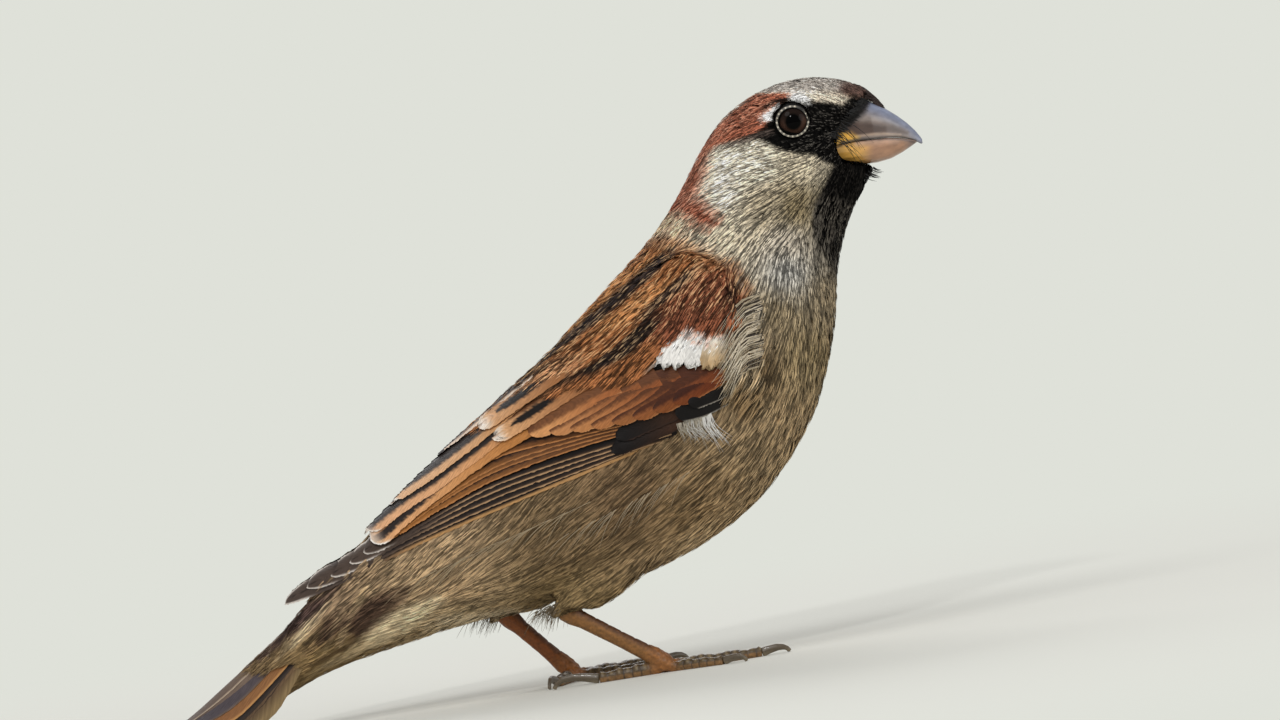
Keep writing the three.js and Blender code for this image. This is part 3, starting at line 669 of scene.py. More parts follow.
# A barb's corners: two at each of its first three rings, and its tip.
# The corner shades darken each barb towards its root and lighten its tip. This is partly the feathers' own
# darker bases and paler tips, and partly painted shade deep in the coat and painted light on the tips on top.
CORNER_SHADES = np.array((0.72, 0.72, 0.95, 0.95, 1.02, 1.02, 1.06))
CORNER_ACROSS = np.array((-0.1, 0.1, -0.1, 0.1, -0.1, 0.1, 0))
CORNER_ALONG = np.array((0, 0, 0.42, 0.42, 0.78, 0.78, 1))
FRINGE_SHARES = (0.35, 0.35, 0.6, 0.6, 0.85)  # how strongly a fringe colours the corners after the root's
BARB_QUADS = np.array(((0, 1, 3, 2), (2, 3, 5, 4)))
BARB_TIPS = np.array(((4, 5, 6),))
BARB_TRIANGLES = 5
BAKE_PATCH = 0.003  # the side of a tuft's patch of baked colour
PIECE_TRIANGLES = 180_000
TRIES = 8  # roots scattered for each one that is kept, about
BOX_GROWTH, BOX_TURN = 1.1, 10  # steps in the size of the roots' boxes, and in their turn in degrees


def spacing(length):
    """How far apart roots are across the lie and along it, for feathers of this length."""
    return 0.32 + 0.04 * length, 0.42 + 0.26 * length


def scatter(surface, wanted):
    """Roots on a surface where wanted(places) is true, and their normals."""
    corners = surface.points[surface.quads]
    diagonals = corners[:, 2:] - corners[:, :2]
    area = 0.5 * np.linalg.norm(np.cross(diagonals[:, 0], diagonals[:, 1]), axis=1)
    count = rng.poisson(TRIES * area / np.prod(spacing(coat_size(corners.mean(1))[0]), 0))
    which = np.repeat(np.arange(len(corners)), count)
    s, t = rng.random((2, len(which), 1))
    weights = np.stack([(1 - s) * (1 - t), s * (1 - t), s * t, (1 - s) * t], 1)
    roots = (corners[which] * weights).sum(1)
    normals = unit((surface.normals[surface.quads[which]] * weights).sum(1))
    kept = wanted(roots)
    roots, normals = roots[kept], normals[kept]
    # one root in each box of a grid that is turned along the lie, and whose boxes grow with the feathers
    level = np.round(np.log(coat_size(roots)[0]) / np.log(BOX_GROWTH))
    across, along = spacing(BOX_GROWTH**level)
    way = lie_way(roots, normals)
    turn = np.round(np.degrees(np.arctan2(way[:, 2], way[:, 0])) / BOX_TURN)
    cos, sin = np.cos(np.radians(BOX_TURN * turn)), np.sin(np.radians(BOX_TURN * turn))
    x, y, z = roots.T
    on_way, over_way = x * cos + z * sin, z * cos - x * sin
    boxes = np.stack([level, turn, on_way // along, over_way // across, y // across], -1)
    first = np.unique(boxes.astype(np.int64), axis=0, return_index=True)[1]
    return roots[first], normals[first]


FINE, COARSE = Strands(0.12, 2.8), Strands(0.5, 4.5)


class Tufts:
    """Tufts of barbs, laid from their roots over a cover surface.

    stand: how far their tips are above the cover; ruffle: how unevenly; longer: times the coat's length;
    contrast: between light and dark strands; own_colour: barbs keep the colour of their tuft's root.
    """

    KNOTS = np.array((0, 0.32, 0.66, 1.0))  # where a tuft's path is worked out, as shares of its length

    def __init__(self, roots, normals, cover, stand=0.0, ruffle=0.5, longer=1.0, contrast=0.32,
                 own_colour=False):
        n = len(roots)
        length, depth = coat_size(roots)
        length = length * longer * rng.uniform(0.8, 1.2, n)
        tip_height = stand + ruffle * rng.uniform(-0.3, 0.1, n) * depth
        path, ways, normal_path = [roots], [lie_way(roots, normals)], [normals]
        below = [cover.nearest(roots)[0]]
        at = roots
        heights = (-0.45 * depth, 0.6 * tip_height - 0.07 * depth, tip_height)
        for share, height in zip((0.32, 0.34, 0.34), heights):
            on, normal = cover.nearest(at + ways[-1] * (length * share)[:, None])
            at = on + normal * height[:, None]
            path.append(at)
            below.append(on)
            ways.append(lie_way(at, normal))
            normal_path.append(normal)
        self.roots, self.length, self.count = roots, length, n
        self.path, self.below = np.stack(path, 1), np.stack(below, 1)
        self.ways, self.normals = np.stack(ways, 1), np.stack(normal_path, 1)
        self.width = length * rng.uniform(0.22, 0.32, n) + 0.3
        self.barb_width = BARB_WIDTH * np.clip(length / 4.5, 0.62, 1.0)
        self.shade, self.contrast, self.own_colour = rng.normal(0, 0.02, n), contrast, own_colour

    def build(self):
        """(vertices: tuft, barb, corner, 3), (their colours), (their places in the tuft's own patch)"""
        n, k = self.count, BARBS
        side = np.linspace(-1, 1, k) + rng.uniform(-0.5, 0.5, (n, k)) / k
        reach = 1 - 0.3 * side**2 - rng.uniform(0, 0.16, (n, k))
        t = RINGS * reach[..., None]  # tuft, barb, ring
        index = np.clip(np.searchsorted(self.KNOTS, t, side="right") - 1, 0, 2)
        share = ((t - self.KNOTS[index]) / (self.KNOTS[index + 1] - self.KNOTS[index]))[..., None]
        tuft = np.arange(n)[:, None, None]

        def at_rings(values):
            return values[tuft, index] * (1 - share) + values[tuft, index + 1] * share

        middle, normal, way = at_rings(self.path), unit(at_rings(self.normals)), unit(at_rings(self.ways))
        across = np.cross(normal, way)
        spread = (0.65 + 0.35 * np.sin(np.clip(t / 0.6, 0, 1) * np.pi / 2)) * (1 - 0.2 * t**3)
        offset = across * (side[..., None] * spread * self.width[:, None, None] / 2)[..., None]
        lift = rng.normal(0, 0.035, (n, k, 1)) * np.minimum(1, 2 * t) + 0.05 * (1 - side[..., None] ** 2) * t
        lift = lift * np.minimum(1, self.length / 4)[:, None, None]
        centre = middle + offset + normal * lift[..., None]
        roll = rng.normal(0, 0.24, (n, k, 1, 1))
        flat = across * np.cos(roll) + normal * np.sin(roll)
        half = RING_WIDTHS * self.barb_width[:, None, None] / 2 * rng.uniform(0.75, 1.25, (n, k, 1))
        edges = np.stack([centre - flat * half[..., None], centre + flat * half[..., None]], 3)
        corners = np.concatenate([edges[:, :, :3].reshape(n, k, 6, 3), centre[:, :, 3:]], 2)
        tints = self.coloured(middle[:, k // 2, 3], centre, way, at_rings(self.below) + offset)
        across_patch = (side[..., None] + CORNER_ACROSS) / 2.4 + 0.5
        local = np.stack([across_patch, np.broadcast_to(CORNER_ALONG, (n, k, 7))], -1)
        return corners, np.clip(tints, 0, 1), local

    def coloured(self, tips, centre, way, below):
        """The colours at each barb's corners. Each barb takes the markings that it lies over."""
        n, k = self.count, BARBS
        stray = rng.normal(0, 0.13, (n, k, 1, 3))
        places = self.roots[:, None, None] if self.own_colour else centre[:, :, 1::2]
        places = np.broadcast_to(places, (n, k, 2, 3)) + stray
        over = plumage(places.reshape(-1, 3)).reshape(n, k, 2, 3)
        tint = np.stack([over[:, :, 0]] * 4 + [over.mean(2)] * 2 + [over[:, :, 1]], 2)
        on, along = below[:, :, 2], way[:, :, 2]
        strand = 0.9 * FINE(on, along) + 0.15 * COARSE(on, along) + rng.normal(0, 0.36, (n, k))
        shade = 1 + self.shade[:, None] + self.contrast * np.tanh(strand * 1.1)
        # painted shade towards each barb's root and painted light at its tip, from the corner shades
        tints = tint * (shade[..., None] * CORNER_SHADES)[..., None]
        for patch, level in FRINGES:
            shown = step(abs(level) - 0.2, abs(level) + 0.2, strand * np.sign(level))
            fringed = (patch.share(tips)[:, None] * shown)[..., None] * FRINGE_SHARES
            tints[:, :, 2:] = mix(tints[:, :, 2:], patch.colour, fringed)
        return tints


def coat_pieces(name, tufts):
    """Makes a group of tufts into pieces that run in order along the bird."""
    along = unwrap(tufts.roots)[0]
    corners, tints, local = tufts.build()
    pieces = math.ceil(tufts.count * BARBS * BARB_TRIANGLES / PIECE_TRIANGLES)
    for number, members in enumerate(np.array_split(np.argsort(along), pieces), 1):
        v = corners[members].reshape(-1, 3)
        uv = body_map(tufts.roots[members])[:, None, None] + (local[members] - (0.5, 0)) * BAKE_PATCH
        base = np.arange(len(v) // 7)[:, None, None] * 7
        faces = [(base + BARB_QUADS).reshape(-1, 4), (base + BARB_TIPS).reshape(-1, 3)]
        colours = tints[members].reshape(-1, 3)
        make_mesh(f"coat_{name}_{number}", v, faces, COAT, colours, {"OFBake": uv.reshape(-1, 2)})


WING_OUTLINE = ((21.5, 56.5), (19.5, 51.7), (19, 44.8), (18, 39), (10.5, 36.8), (0, 34.8), (-20, 30.4),
                (-40, 25.2), (-57, 20), (-45, 33), (-20, 50), (5, 70), (20, 62))
WHITE_BAR = ((6.4, 48.6), (10.4, 51.0), (12.6, 52.4), (14.2, 51.8), (20.6, 50.6), (20.6, 46), (6.4, 46))
TAIL_ROOT = ((-52, 25), (-57, 19.5), (-61, 16), (-65, 12.6), (-60, 12.2), (-55, 13.4), (-52, 12.5), (-55, 9),
             (-59.5, 6.6), (-61, 4.4), (-57, 4), (-52, 6), (-50.5, 16))
WING_FRONT = ((22.4, 59), (26.5, 57.5), (26, 47), (24.8, 43.5), (23.2, 44), (21.2, 47.5), (20.6, 51),
              (21.4, 55))
BILL_AREA = ((49.5, 84.9), (48.4, 83.8), (47.1, 83.3), (45.6, 81.8), (44, 80.7), (42.6, 79.8), (41.2, 78.5),
             (40.9, 77.6), (41.6, 76.8), (41.6, 75.2), (47.4, 74.2), (60, 74), (60, 86))


def inside(outline, places):
    return depth_inside(outline, places) > 0


def between(low, values, high):
    return (values > low) & (values < high)


# Where no coat grows: in an oval round the eye (its centre and half sizes), and under a level at the heels.
EYE_GAP = ((35.3, 82.3), (3.15, 2.85))
HEELS_FRONT, HEELS_BACK, HEELS_TOP = -11, -28, 11.5


def on_body(places):
    """Where the coat grows from the body's own skin: not on the bill or eyes, nor under the wing or back."""
    x, y, z = places.T
    off_edge = inside(WING_OUTLINE, places) & inside(WING_OUTLINE, places + (2.5, 0, -3.5))
    under_wing = off_edge & (np.abs(y) > 4)
    (eye_x, eye_z), (half_x, half_z) = EYE_GAP
    eye = np.hypot((x - eye_x) / half_x, (z - eye_z) / half_z) < 1
    heels = (z < HEELS_TOP) & between(HEELS_BACK, x, HEELS_FRONT)
    bill, back = inside(BILL_AREA, places), inside(BACK_OUTLINE, places)
    return ~(under_wing | eye | bill | back | heels | (x < -54))


def on_back(places):
    return inside(BACK_OUTLINE, places) & ~inside(WHITE_BAR, places)


def on_rump(places):
    """The strip between the folded wings."""
    x, y, z = places.T
    return (np.abs(y) < 5) & between(-40, x, -34) & (z > 26) & inside(WING_OUTLINE, places)


def on_tail_root(places):
    return inside(TAIL_ROOT, places)


def on_wing_front(places):
    """Where the breast's side feathers lie over the front of the wing."""
    return inside(WING_FRONT, places) & (np.abs(places[:, 1]) > 6)


def make_coat():
    roots, normals = scatter(skin, on_body)
    x, z = roots[:, 0], roots[:, 2]
    low = inside(WING_OUTLINE, roots) | ((x < 12) & (z < 0.55 * x + 40))
    rear = low & (x < rng.normal(-34, 2.5, len(roots)))
    head = ~low & (z > 70 - 0.45 * (x - 12))
    for name, some, cover, slot, shape in (
        ("under", low & ~rear, rear_shape, "body_plumage", {}),
        ("vent", rear, rear_shape, "body_plumage", {"contrast": 0.17, "ruffle": 0.3}),
        ("fore", ~low & ~head, whole_shape, "body_plumage", {"contrast": 0.4}),
        ("head", head, head_shape, "head_plumage", {"contrast": 0.45, "ruffle": 0.3}),
    ):
        coat_pieces(name, Tufts(roots[some], normals[some], cover, **shape))
    loose = {"stand": 0.45, "ruffle": 1.2, "longer": 1.35, "contrast": 0.65, "own_colour": True}
    for name, base, wanted, cover, slot, shape in (
        ("tail_coverts", rear_shape.moved(-0.5), on_tail_root, rear_shape, "body_plumage",
         {"stand": 0.1, "contrast": 0.2}),
        ("back", whole_shape.moved(-1.3), on_back, whole_shape, "rufous_feathers",
         {"stand": 0.1, "contrast": 0.5}),
        ("rump", whole_shape.moved(-1.8), on_rump, whole_shape.moved(-1.0), "body_plumage", {}),
        ("breast_side", whole_shape.moved(-0.4), on_wing_front, whole_shape, "body_plumage", loose),
    ):
        coat_pieces(name, Tufts(*scatter(base, wanted), cover, **shape))


def make_skin():
    # painted shade: the skin takes the plumage's colours at 62 %, standing for the shade deep in the coat
    # between the tufts
    tints = plumage(body_shape.points) * 0.62
    uvs = {"OFBake": body_map(skin.points)}
    piece = make_mesh("skin", skin.points, [skin.quads], SKIN, tints, uvs)
    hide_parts(*BODY, *THIGHS)


# ---- vanes: the wings' and tail's own feathers ---------------------------------------------------
ACROSS = np.array((0, 0.04, 0.09, 0.15, 0.22, 0.3, 0.38, 0.46, 0.54, 0.62, 0.7, 0.78, 0.85, 0.91, 0.96, 1.0))
BARB_ANGLE = math.radians(20)
SHAFT = 0.42  # where the shaft lies across the width
ROW_LENGTH, TIP_ROWS = 0.45, 16  # mm from row to row of a vane, and how many more rows it gets for its tip


class Vane:
    """One feather, laid out flat from its lower edge.

    edge: knots of the lower edge from base to tip; width: across, in mm; skew: how far up the width the
    tip lies; tip: the length of the rounded end; heights: above the surface at base and tip; shingle: how
    much higher the lower edge lies than the upper one; base_share: the base's share of the width; ragged:
    the edges' roughness; fray: how unevenly the barbs end; paint: see painted().
    """

    def __init__(self, edge, width, paint, skew=0.4, tip=None, heights=(0, 0), shingle=0.5, base_share=0.7,
                 ragged=0.045, fray=0.0):
        self.paint, self.length = paint, curve_length(edge)
        rows = int(self.length / ROW_LENGTH) + TIP_ROWS
        along = np.linspace(0, 1, rows)
        along = 1 - (1 - along) * (0.35 + 0.65 * (1 - along))  # closer rows near the tip
        along[0], along[-1] = 0, 1
        end = 1 - (tip or 1.1 * width) / self.length
        line = curve_through(edge, along)
        forward = unit(np.gradient(line, axis=0))
        up = np.stack([forward[:, 1], -forward[:, 0]], -1)
        full = width * (base_share + (1 - base_share) * step(0, 0.45, along))
        wide = full * np.sqrt(np.clip(1 - (np.clip(along - end, 0, 1) / (1 - end)) ** 2, 0, 1))
        across = np.broadcast_to(ACROSS, (rows, len(ACROSS)))
        above = across * wide[:, None] + (full - wide)[:, None] * skew  # mm above the lower edge line
        self.flat = line[:, None] + up[:, None] * above[..., None]
        rough = rng.normal(0, ragged, (rows, 2)) * step(0, 0.2, along)[:, None]
        self.flat[:, 0] += up * rough[:, :1]
        self.flat[:, -1] += up * rough[:, 1:]
        frayed = rng.normal(0, fray + 1e-6, len(ACROSS)) * step(0.5, 1, along)[:, None]
        self.flat += forward[:, None] * frayed[..., None]
        self.along, self.across = np.broadcast_to(along[:, None], across.shape), across
        self.above, full = above, np.broadcast_to(full[:, None], across.shape)
        # mm in from the outline, measured across and along
        tip_at = skew * full
        off_tip = np.where(above < tip_at, (tip_at - above) / tip_at, (above - tip_at) / ((1 - skew) * full))
        boundary = end + (1 - end) * np.sqrt(np.clip(1 - off_tip**2, 0, 1))
        from_sides = np.minimum(across, 1 - across) * wide[:, None]
        self.inset = np.minimum(from_sides, (boundary - self.along) * self.length)
        camber = 0.1 * (1 - (2 * across - 1) ** 2)
        base_height, tip_height = heights
        rise = (tip_height - base_height) * self.along
        self.height = base_height + rise + shingle * (1 - self.across) + camber
        self.from_shaft = np.abs(self.above - SHAFT * full)
        from_base, cos, sin = self.along * self.length, math.cos(BARB_ANGLE), math.sin(BARB_ANGLE)
        along_barb = from_base * cos + self.from_shaft * sin
        barbs = np.stack([along_barb, from_base * sin - self.from_shaft * cos], -1)
        self.barb_place = barbs + rng.uniform(0, 50, 2)

    def painted(self):
        """The vane's colours. paint holds web (colours at base and tip), and any of: upper (colour, from mm),
        edge (colour, mm, up to what share of the length), core (colour, from mm, to mm, from share, to
        share), end (colour, how far from the tip), rim (colour, mm, how far from the tip), shaft (colour,
        mm), and tip (mm from the tip where the upper colour starts and is full)."""
        paint, to_tip = self.paint, (1 - self.along) * self.length
        number = self.barb_place[..., 1]
        # the colours' borders waver from barb to barb
        above = self.above + (0.06 * np.sin(number * 9) + 0.05 * np.sin(number * 23 + 1))
        layers = [(paint["web"][1], step(0.05, 0.95, self.along))]
        if "upper" in paint:
            tone, start = paint["upper"]
            before_tip = step(*paint.get("tip", (-2, -1)), to_tip)
            layers.append((tone, step(start - 0.25, start + 0.25, above) * before_tip))
        if "core" in paint:
            tone, low, high, start, stop = paint["core"]
            part = np.clip((self.along - start) / (min(stop, 1.15) - start), 0, 1)
            grown = np.sqrt(4 * part * (1 - part)) if stop < 1 else step(0, 0.55, part)
            past = np.abs(above - (low + high) / 2) - (high - low) / 2 * grown
            layers.append((tone, step(0.16, -0.12, past) * step(0, 0.15, grown)))
        if "end" in paint:
            tone, reach = paint["end"]
            layers.append((tone, step(reach, 0, to_tip)))
        if "shaft" in paint:
            tone, width = paint["shaft"]
            layers.append((tone, step(width, 0, self.from_shaft)))
        if "edge" in paint:
            tone, width, stop = (*paint["edge"], 1.5)[:3]
            within = step(width + 0.1, width - 0.1, self.above) * step(stop + 0.1, stop - 0.1, self.along)
            layers.append((tone, within))
        if "rim" in paint:
            tone, width, reach = paint["rim"]
            within = step(width * 1.4, width * 0.5, self.inset) * step(reach, reach * 0.5, to_tip)
            layers.append((tone, within))
        return np.clip(layered(hue(paint["web"][0]), *layers) * (1 + rng.normal(0, 0.03)), 0, 1)


def feather_piece(name, vanes, place, side):
    """Makes vanes into one piece. place turns flat places and heights into points."""
    points, tints, faces, barbs, bake, start = [], [], [], [], [], 0
    for number, vane in enumerate(vanes):
        rows, columns = vane.across.shape
        grid = np.arange(rows * columns).reshape(rows, columns) + start
        quads = np.stack([grid[:-1, :-1], grid[1:, :-1], grid[1:, 1:], grid[:-1, 1:]], -1)
        start += rows * columns
        faces.append(quads.reshape(-1, 4))
        points.append(place(vane.flat.reshape(-1, 2), vane.height.ravel()))
        tints.append(vane.painted().reshape(-1, 3))
        barbs.append(vane.barb_place.reshape(-1, 2))
        tile = np.stack([0.01 + 0.98 * vane.along, (number + 0.08 + 0.84 * vane.across) / len(vanes)], -1)
        bake.append(tile.reshape(-1, 2))
    points, faces, tints = np.concatenate(points), np.concatenate(faces), np.concatenate(tints)
    if side == "left":
        points, faces = points * (1, -1, 1), faces[:, ::-1]
    uvs = {"OFBake": np.concatenate(bake), "Barbs": np.concatenate(barbs)}
    return make_mesh(name, points, [faces], VANE, tints, uvs)


WING_END = -43.0  # behind this the folded tips carry on in the line of the wing, drawing in to the middle
TIP_FALL, TIP_DRAW = 0.409, 0.27
LEAN = (0, -0.8, 0)  # added to the normals, so that the feathers stand off to the side more than up


def on_wing(flat, height):
    beyond = np.maximum(0, WING_END - flat[:, 0])
    at, normal = whole_shape.from_right(flat[:, 0] + beyond, flat[:, 1] + TIP_FALL * beyond)
    at += beyond[:, None] * (-1, TIP_DRAW, -TIP_FALL)
    out = unit(normal + LEAN)
    return at + out * height[:, None]


def primaries():
    edges = (
        ([(9, 35.9), (0, 34.6), (-20, 30.0), (-35, 26.1), (-47, 22.4), (-56.9, 19.7)], 3.3, 8.0),
        ([(9, 36.4), (0, 35.2), (-20, 31.0), (-35, 26.9), (-46, 23.3), (-52.9, 21.4)], 3.3, 4.6),
        ([(8, 37.0), (0, 35.9), (-20, 32.0), (-35, 27.7), (-43, 24.7), (-48.7, 22.7)], 3.2, 3.8),
        ([(7, 37.5), (0, 36.5), (-20, 33.0), (-33, 28.9), (-40, 26.1), (-45.4, 24.3)], 3.2, 3.6),
        ([(6, 38.1), (0, 37.2), (-20, 33.9), (-32, 29.9), (-38, 27.2), (-43, 25.6)], 3.2, 2.6),
    )
    made = []
    for number, (edge, width, tip) in enumerate(edges):
        lowest = number == 0
        paint = {
            "web": ("33241a", "4a3d35"),
            # painted shadow: the upper colour darkens each feather where the next one above overlaps it
            "upper": ("120c0a", 0.5),
            "tip": (4, 9),
            "shaft": ("241c18", 0.1),
            "edge": ("b98d5c", 0.5, 0.72) if lowest else ("a98764", 0.2, 0.72),
            "rim": ("c9c0b6", 0.26, 6.0),
        }
        skew = 0.2 if lowest else 0.34
        made.append(Vane(edge, width, paint, tip=tip, skew=skew, heights=(-1.1, -0.9), shingle=0.55))
    return made


def secondaries():
    paint = {"web": ("54331c", "95602d"), "upper": ("23140c", 0.85), "edge": ("b87c48", 0.16),
             "shaft": ("4a2d1c", 0.1), "rim": ("d9c2a8", 0.2, 3.0)}
    made = []
    for i, lift in enumerate((0, 0.15, -0.2, 0.1)):
        edge = [(5 - i, 38.7 + 0.4 * i), (-6 - i, 37.6 + 0.5 * i), (-20, 34.8 + i + lift),
                (-30, 31.3 + 0.75 * i + lift), (-36.5, 28.6 + 0.4 * i), (-41 + 0.5 * i, 26.7 + 0.25 * i)]
        made.append(Vane(edge, 3.6, paint, tip=3.0, heights=(-0.85, -0.6), shingle=0.55))
    return made


def tertials():
    lowest = {"web": ("b5783f", "dba372"), "core": ("2b2422", 0.9, 2.05, 0.42, 1.0), "end": ("dcc3ac", 3.0),
              "rim": ("eee7df", 0.25, 3.5), "shaft": ("9a6537", 0.1)}
    middle = {"web": ("c88b56", "e0ab7f"), "upper": ("2b2523", 1.15), "end": ("a8968a", 2.2),
              "rim": ("e8dccd", 0.25, 2.6)}
    upper = {"web": ("cc9562", "e4b488"), "upper": ("332d2b", 1.1), "rim": ("efe6da", 0.3, 2.0)}
    top = {"web": ("2a211d", "2e2623"), "edge": ("d9c3ae", 0.35)}
    rows = (  # edge, width, paint, tip, skew, heights, shingle
        ([(-10, 41.8), (-18, 38.9), (-24, 36.1), (-28, 33.9), (-32, 31.8), (-36, 29.4), (-38.5, 27.7),
          (-41, 26.6)], 4.2, lowest, 2.4, 0.42, (-0.5, -0.25), 0.5),
        ([(-8, 45.4), (-16, 41.6), (-22, 38.4), (-26, 36.3), (-30, 34.2), (-34, 32.5), (-38, 30.4),
          (-41.4, 28.4)], 3.6, middle, 2.8, 0.6, (-0.5, -0.25), 0.5),
        ([(-9, 48.2), (-16, 44.2), (-22, 40.6), (-26, 38.4), (-30, 36.3), (-34, 34.4), (-37.4, 33.0)],
         3.0, upper, 2.4, 0.5, (-0.5, -0.25), 0.5),
        ([(-12, 49.5), (-18, 46.0), (-24, 42.2), (-28.6, 39.7)], 2.2, top, 2.6, 0.5, (-0.4, -0.2), 0.4),
    )
    return [Vane(edge, width, paint, tip=tip, skew=skew, heights=heights, shingle=shingle)
            for edge, width, paint, tip, skew, heights, shingle in rows]


def between_hues(front, back, share):
    return "".join(f"{round(255 * v):02x}" for v in mix(hue(front), hue(back), share))


def greater_coverts():
    made = []
    for i, z in enumerate((40.9, 40.2, 39.6, 39.3, 39.2, 39.2, 39.2, 39.4)):
        x, rear = 9.5 - 3.3 * i, i / 7
        # The front feathers are darker than the rear ones: partly their own colour, partly painted shade
        # along the wing's lower front. The upper colour is painted shadow under the next feather's lower
        # edge.
        paint = {
            "web": (between_hues("5a2812", "96592f", rear), between_hues("6c3718", "ca8f5a", rear)),
            "upper": (between_hues("3a190b", "6a4124", rear), 1.5),
            "edge": (between_hues("9a6238", "c99362", rear), 0.16),
            "shaft": (between_hues("2c170d", "5a331c", rear), 0.14),
        }
        reach = min(15, 18.5 - x)
        edge = [(x + reach, z + 0.373 * reach), (x + 0.55 * reach, z + 0.205 * reach),
                (x + 0.2 * reach, z + 0.067 * reach), (x, z)]
        width = 4.6 + 0.1 * i
        made.append(Vane(edge, width, paint, heights=(-0.55, -0.15), shingle=0.5, tip=3.0, skew=0.35))
    paint = {"web": ("9c683f", "cc9a6c"), "upper": ("5a3a25", 2.6), "end": ("f0e4d6", 2.6),
             "shaft": ("6f4528", 0.14), "core": ("171210", 1.1, 2.35, 0.24, 0.8)}
    for edge, heights in (
        ([(-4, 46.4), (-9, 44.2), (-14, 41.9), (-19.0, 39.9)], (-0.5, -0.05)),
        ([(-6, 49.2), (-11, 46.8), (-15.5, 44.6), (-20.9, 41.9)], (-0.45, 0.0)),
    ):
        made.append(Vane(edge, 3.4, paint, heights=heights, shingle=0.5, tip=2.6, fray=0.25))
    return made


def median_coverts():
    """The white bar: short broad feathers with loose ends that hang down over the next row."""
    white = {"web": ("dedbd6", "d9d6d1"), "shaft": ("cfccc8", 0.1)}
    buff = {"web": ("e6dfd3", "b89a72"), "shaft": ("b8a484", 0.1)}
    made = []
    for x, top, foot in (
        (18.6, 51.0, 46.6), (17.4, 51.2, 46.2), (16.2, 51.3, 46.8), (15.2, 51.6, 46.9), (14.2, 52.2, 46.9),
        (12.2, 52.7, 47.2), (10.4, 51.5, 47.4), (8.8, 50.1, 48.2),
    ):
        edge = [(x + 1.4, top), (x + 0.2, (top + foot) / 2), (x - 0.6, foot)]
        width, paint = 2.4 if x > 10 else 1.5, buff if x > 16 else white
        made.append(Vane(edge, width, paint, tip=1.9, skew=0.5, heights=(-0.35, 0.2), shingle=0.08,
                         base_share=0.8, fray=0.3))
    return made


def alula():
    black = {"web": ("120f0d", "100d0c"), "edge": ("948d82", 0.14)}
    rows = (  # edge, tip, skew, heights
        ([(20.6, 41.4), (14.5, 39.4), (9.2, 38.9)], 1.6, 0.6, (-1.0, 0.1)),
        ([(21.5, 43.0), (16.5, 41.4), (11.6, 40.4)], 2.0, 0.5, (-0.9, 0.15)),
    )
    return [Vane(edge, 2.8, black, tip=tip, skew=skew, heights=heights, shingle=0.3)
            for edge, tip, skew, heights in rows]


def primary_coverts():
    dark = {"web": ("42291b", "120e0d"), "edge": ("2f2019", 0.2)}
    rows = (  # edge, width, tip, heights
        ([(13, 38.7), (6, 36.9), (-1.5, 35.0)], 2.6, 2.4, (-0.7, -0.25)),
        ([(12, 39.9), (6, 38.6), (-0.4, 36.9)], 2.8, 2.6, (-0.6, -0.2)),
    )
    return [Vane(edge, width, dark, tip=tip, skew=0.5, heights=heights, shingle=0.35)
            for edge, width, tip, heights in rows]


WING_GROUPS = (  # (name, maker, slot, CAD groups that it replaces)
    ("primaries", primaries, "flight_feathers", ("primaries",)),
    ("secondaries", secondaries, "rufous_feathers", ("secondaries",)),
    ("tertials", tertials, "rufous_feathers", ()),
    ("greater_coverts", greater_coverts, "rufous_feathers", ("coverts",)),
    ("primary_coverts", primary_coverts, "black_feathers", ()),
    ("median_coverts", median_coverts, "flight_feathers", ()),
    ("alula", alula, "black_feathers", ("alula",)),
)


def make_wings():
    for side in SIDES:
        for name, maker, slot, groups in WING_GROUPS:
            piece = feather_piece(f"{name}_{side}", maker(), on_wing, side)
            if groups:
                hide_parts(*[f"wing_{group}_{side}" for group in groups])


# ---- the tail ------------------------------------------------------------------------------------
# The closed tail is a low roof that flattens towards its end: x, ridge height, half width, how much lower
# its sides are, and how far the outermost feathers hang below those.
TAIL = curve_through(
    (
        (-40, 24.5, 3.9, 1.5, 0), (-47, 21, 4.4, 2.5, 1), (-54, 18.2, 5.4, 5, 0.3),
        (-61, 13.9, 6.2, 6.2, 2.8), (-68, 9.2, 6.8, 6.3, 1.2), (-74, 5.3, 7.3, 3.6, 0.5),
        (-79.5, 2.4, 7.7, 1.1, 0.2), (-84, 1.3, 8, 0.1, 0),
    ),
    np.linspace(0, 1, 60),
)


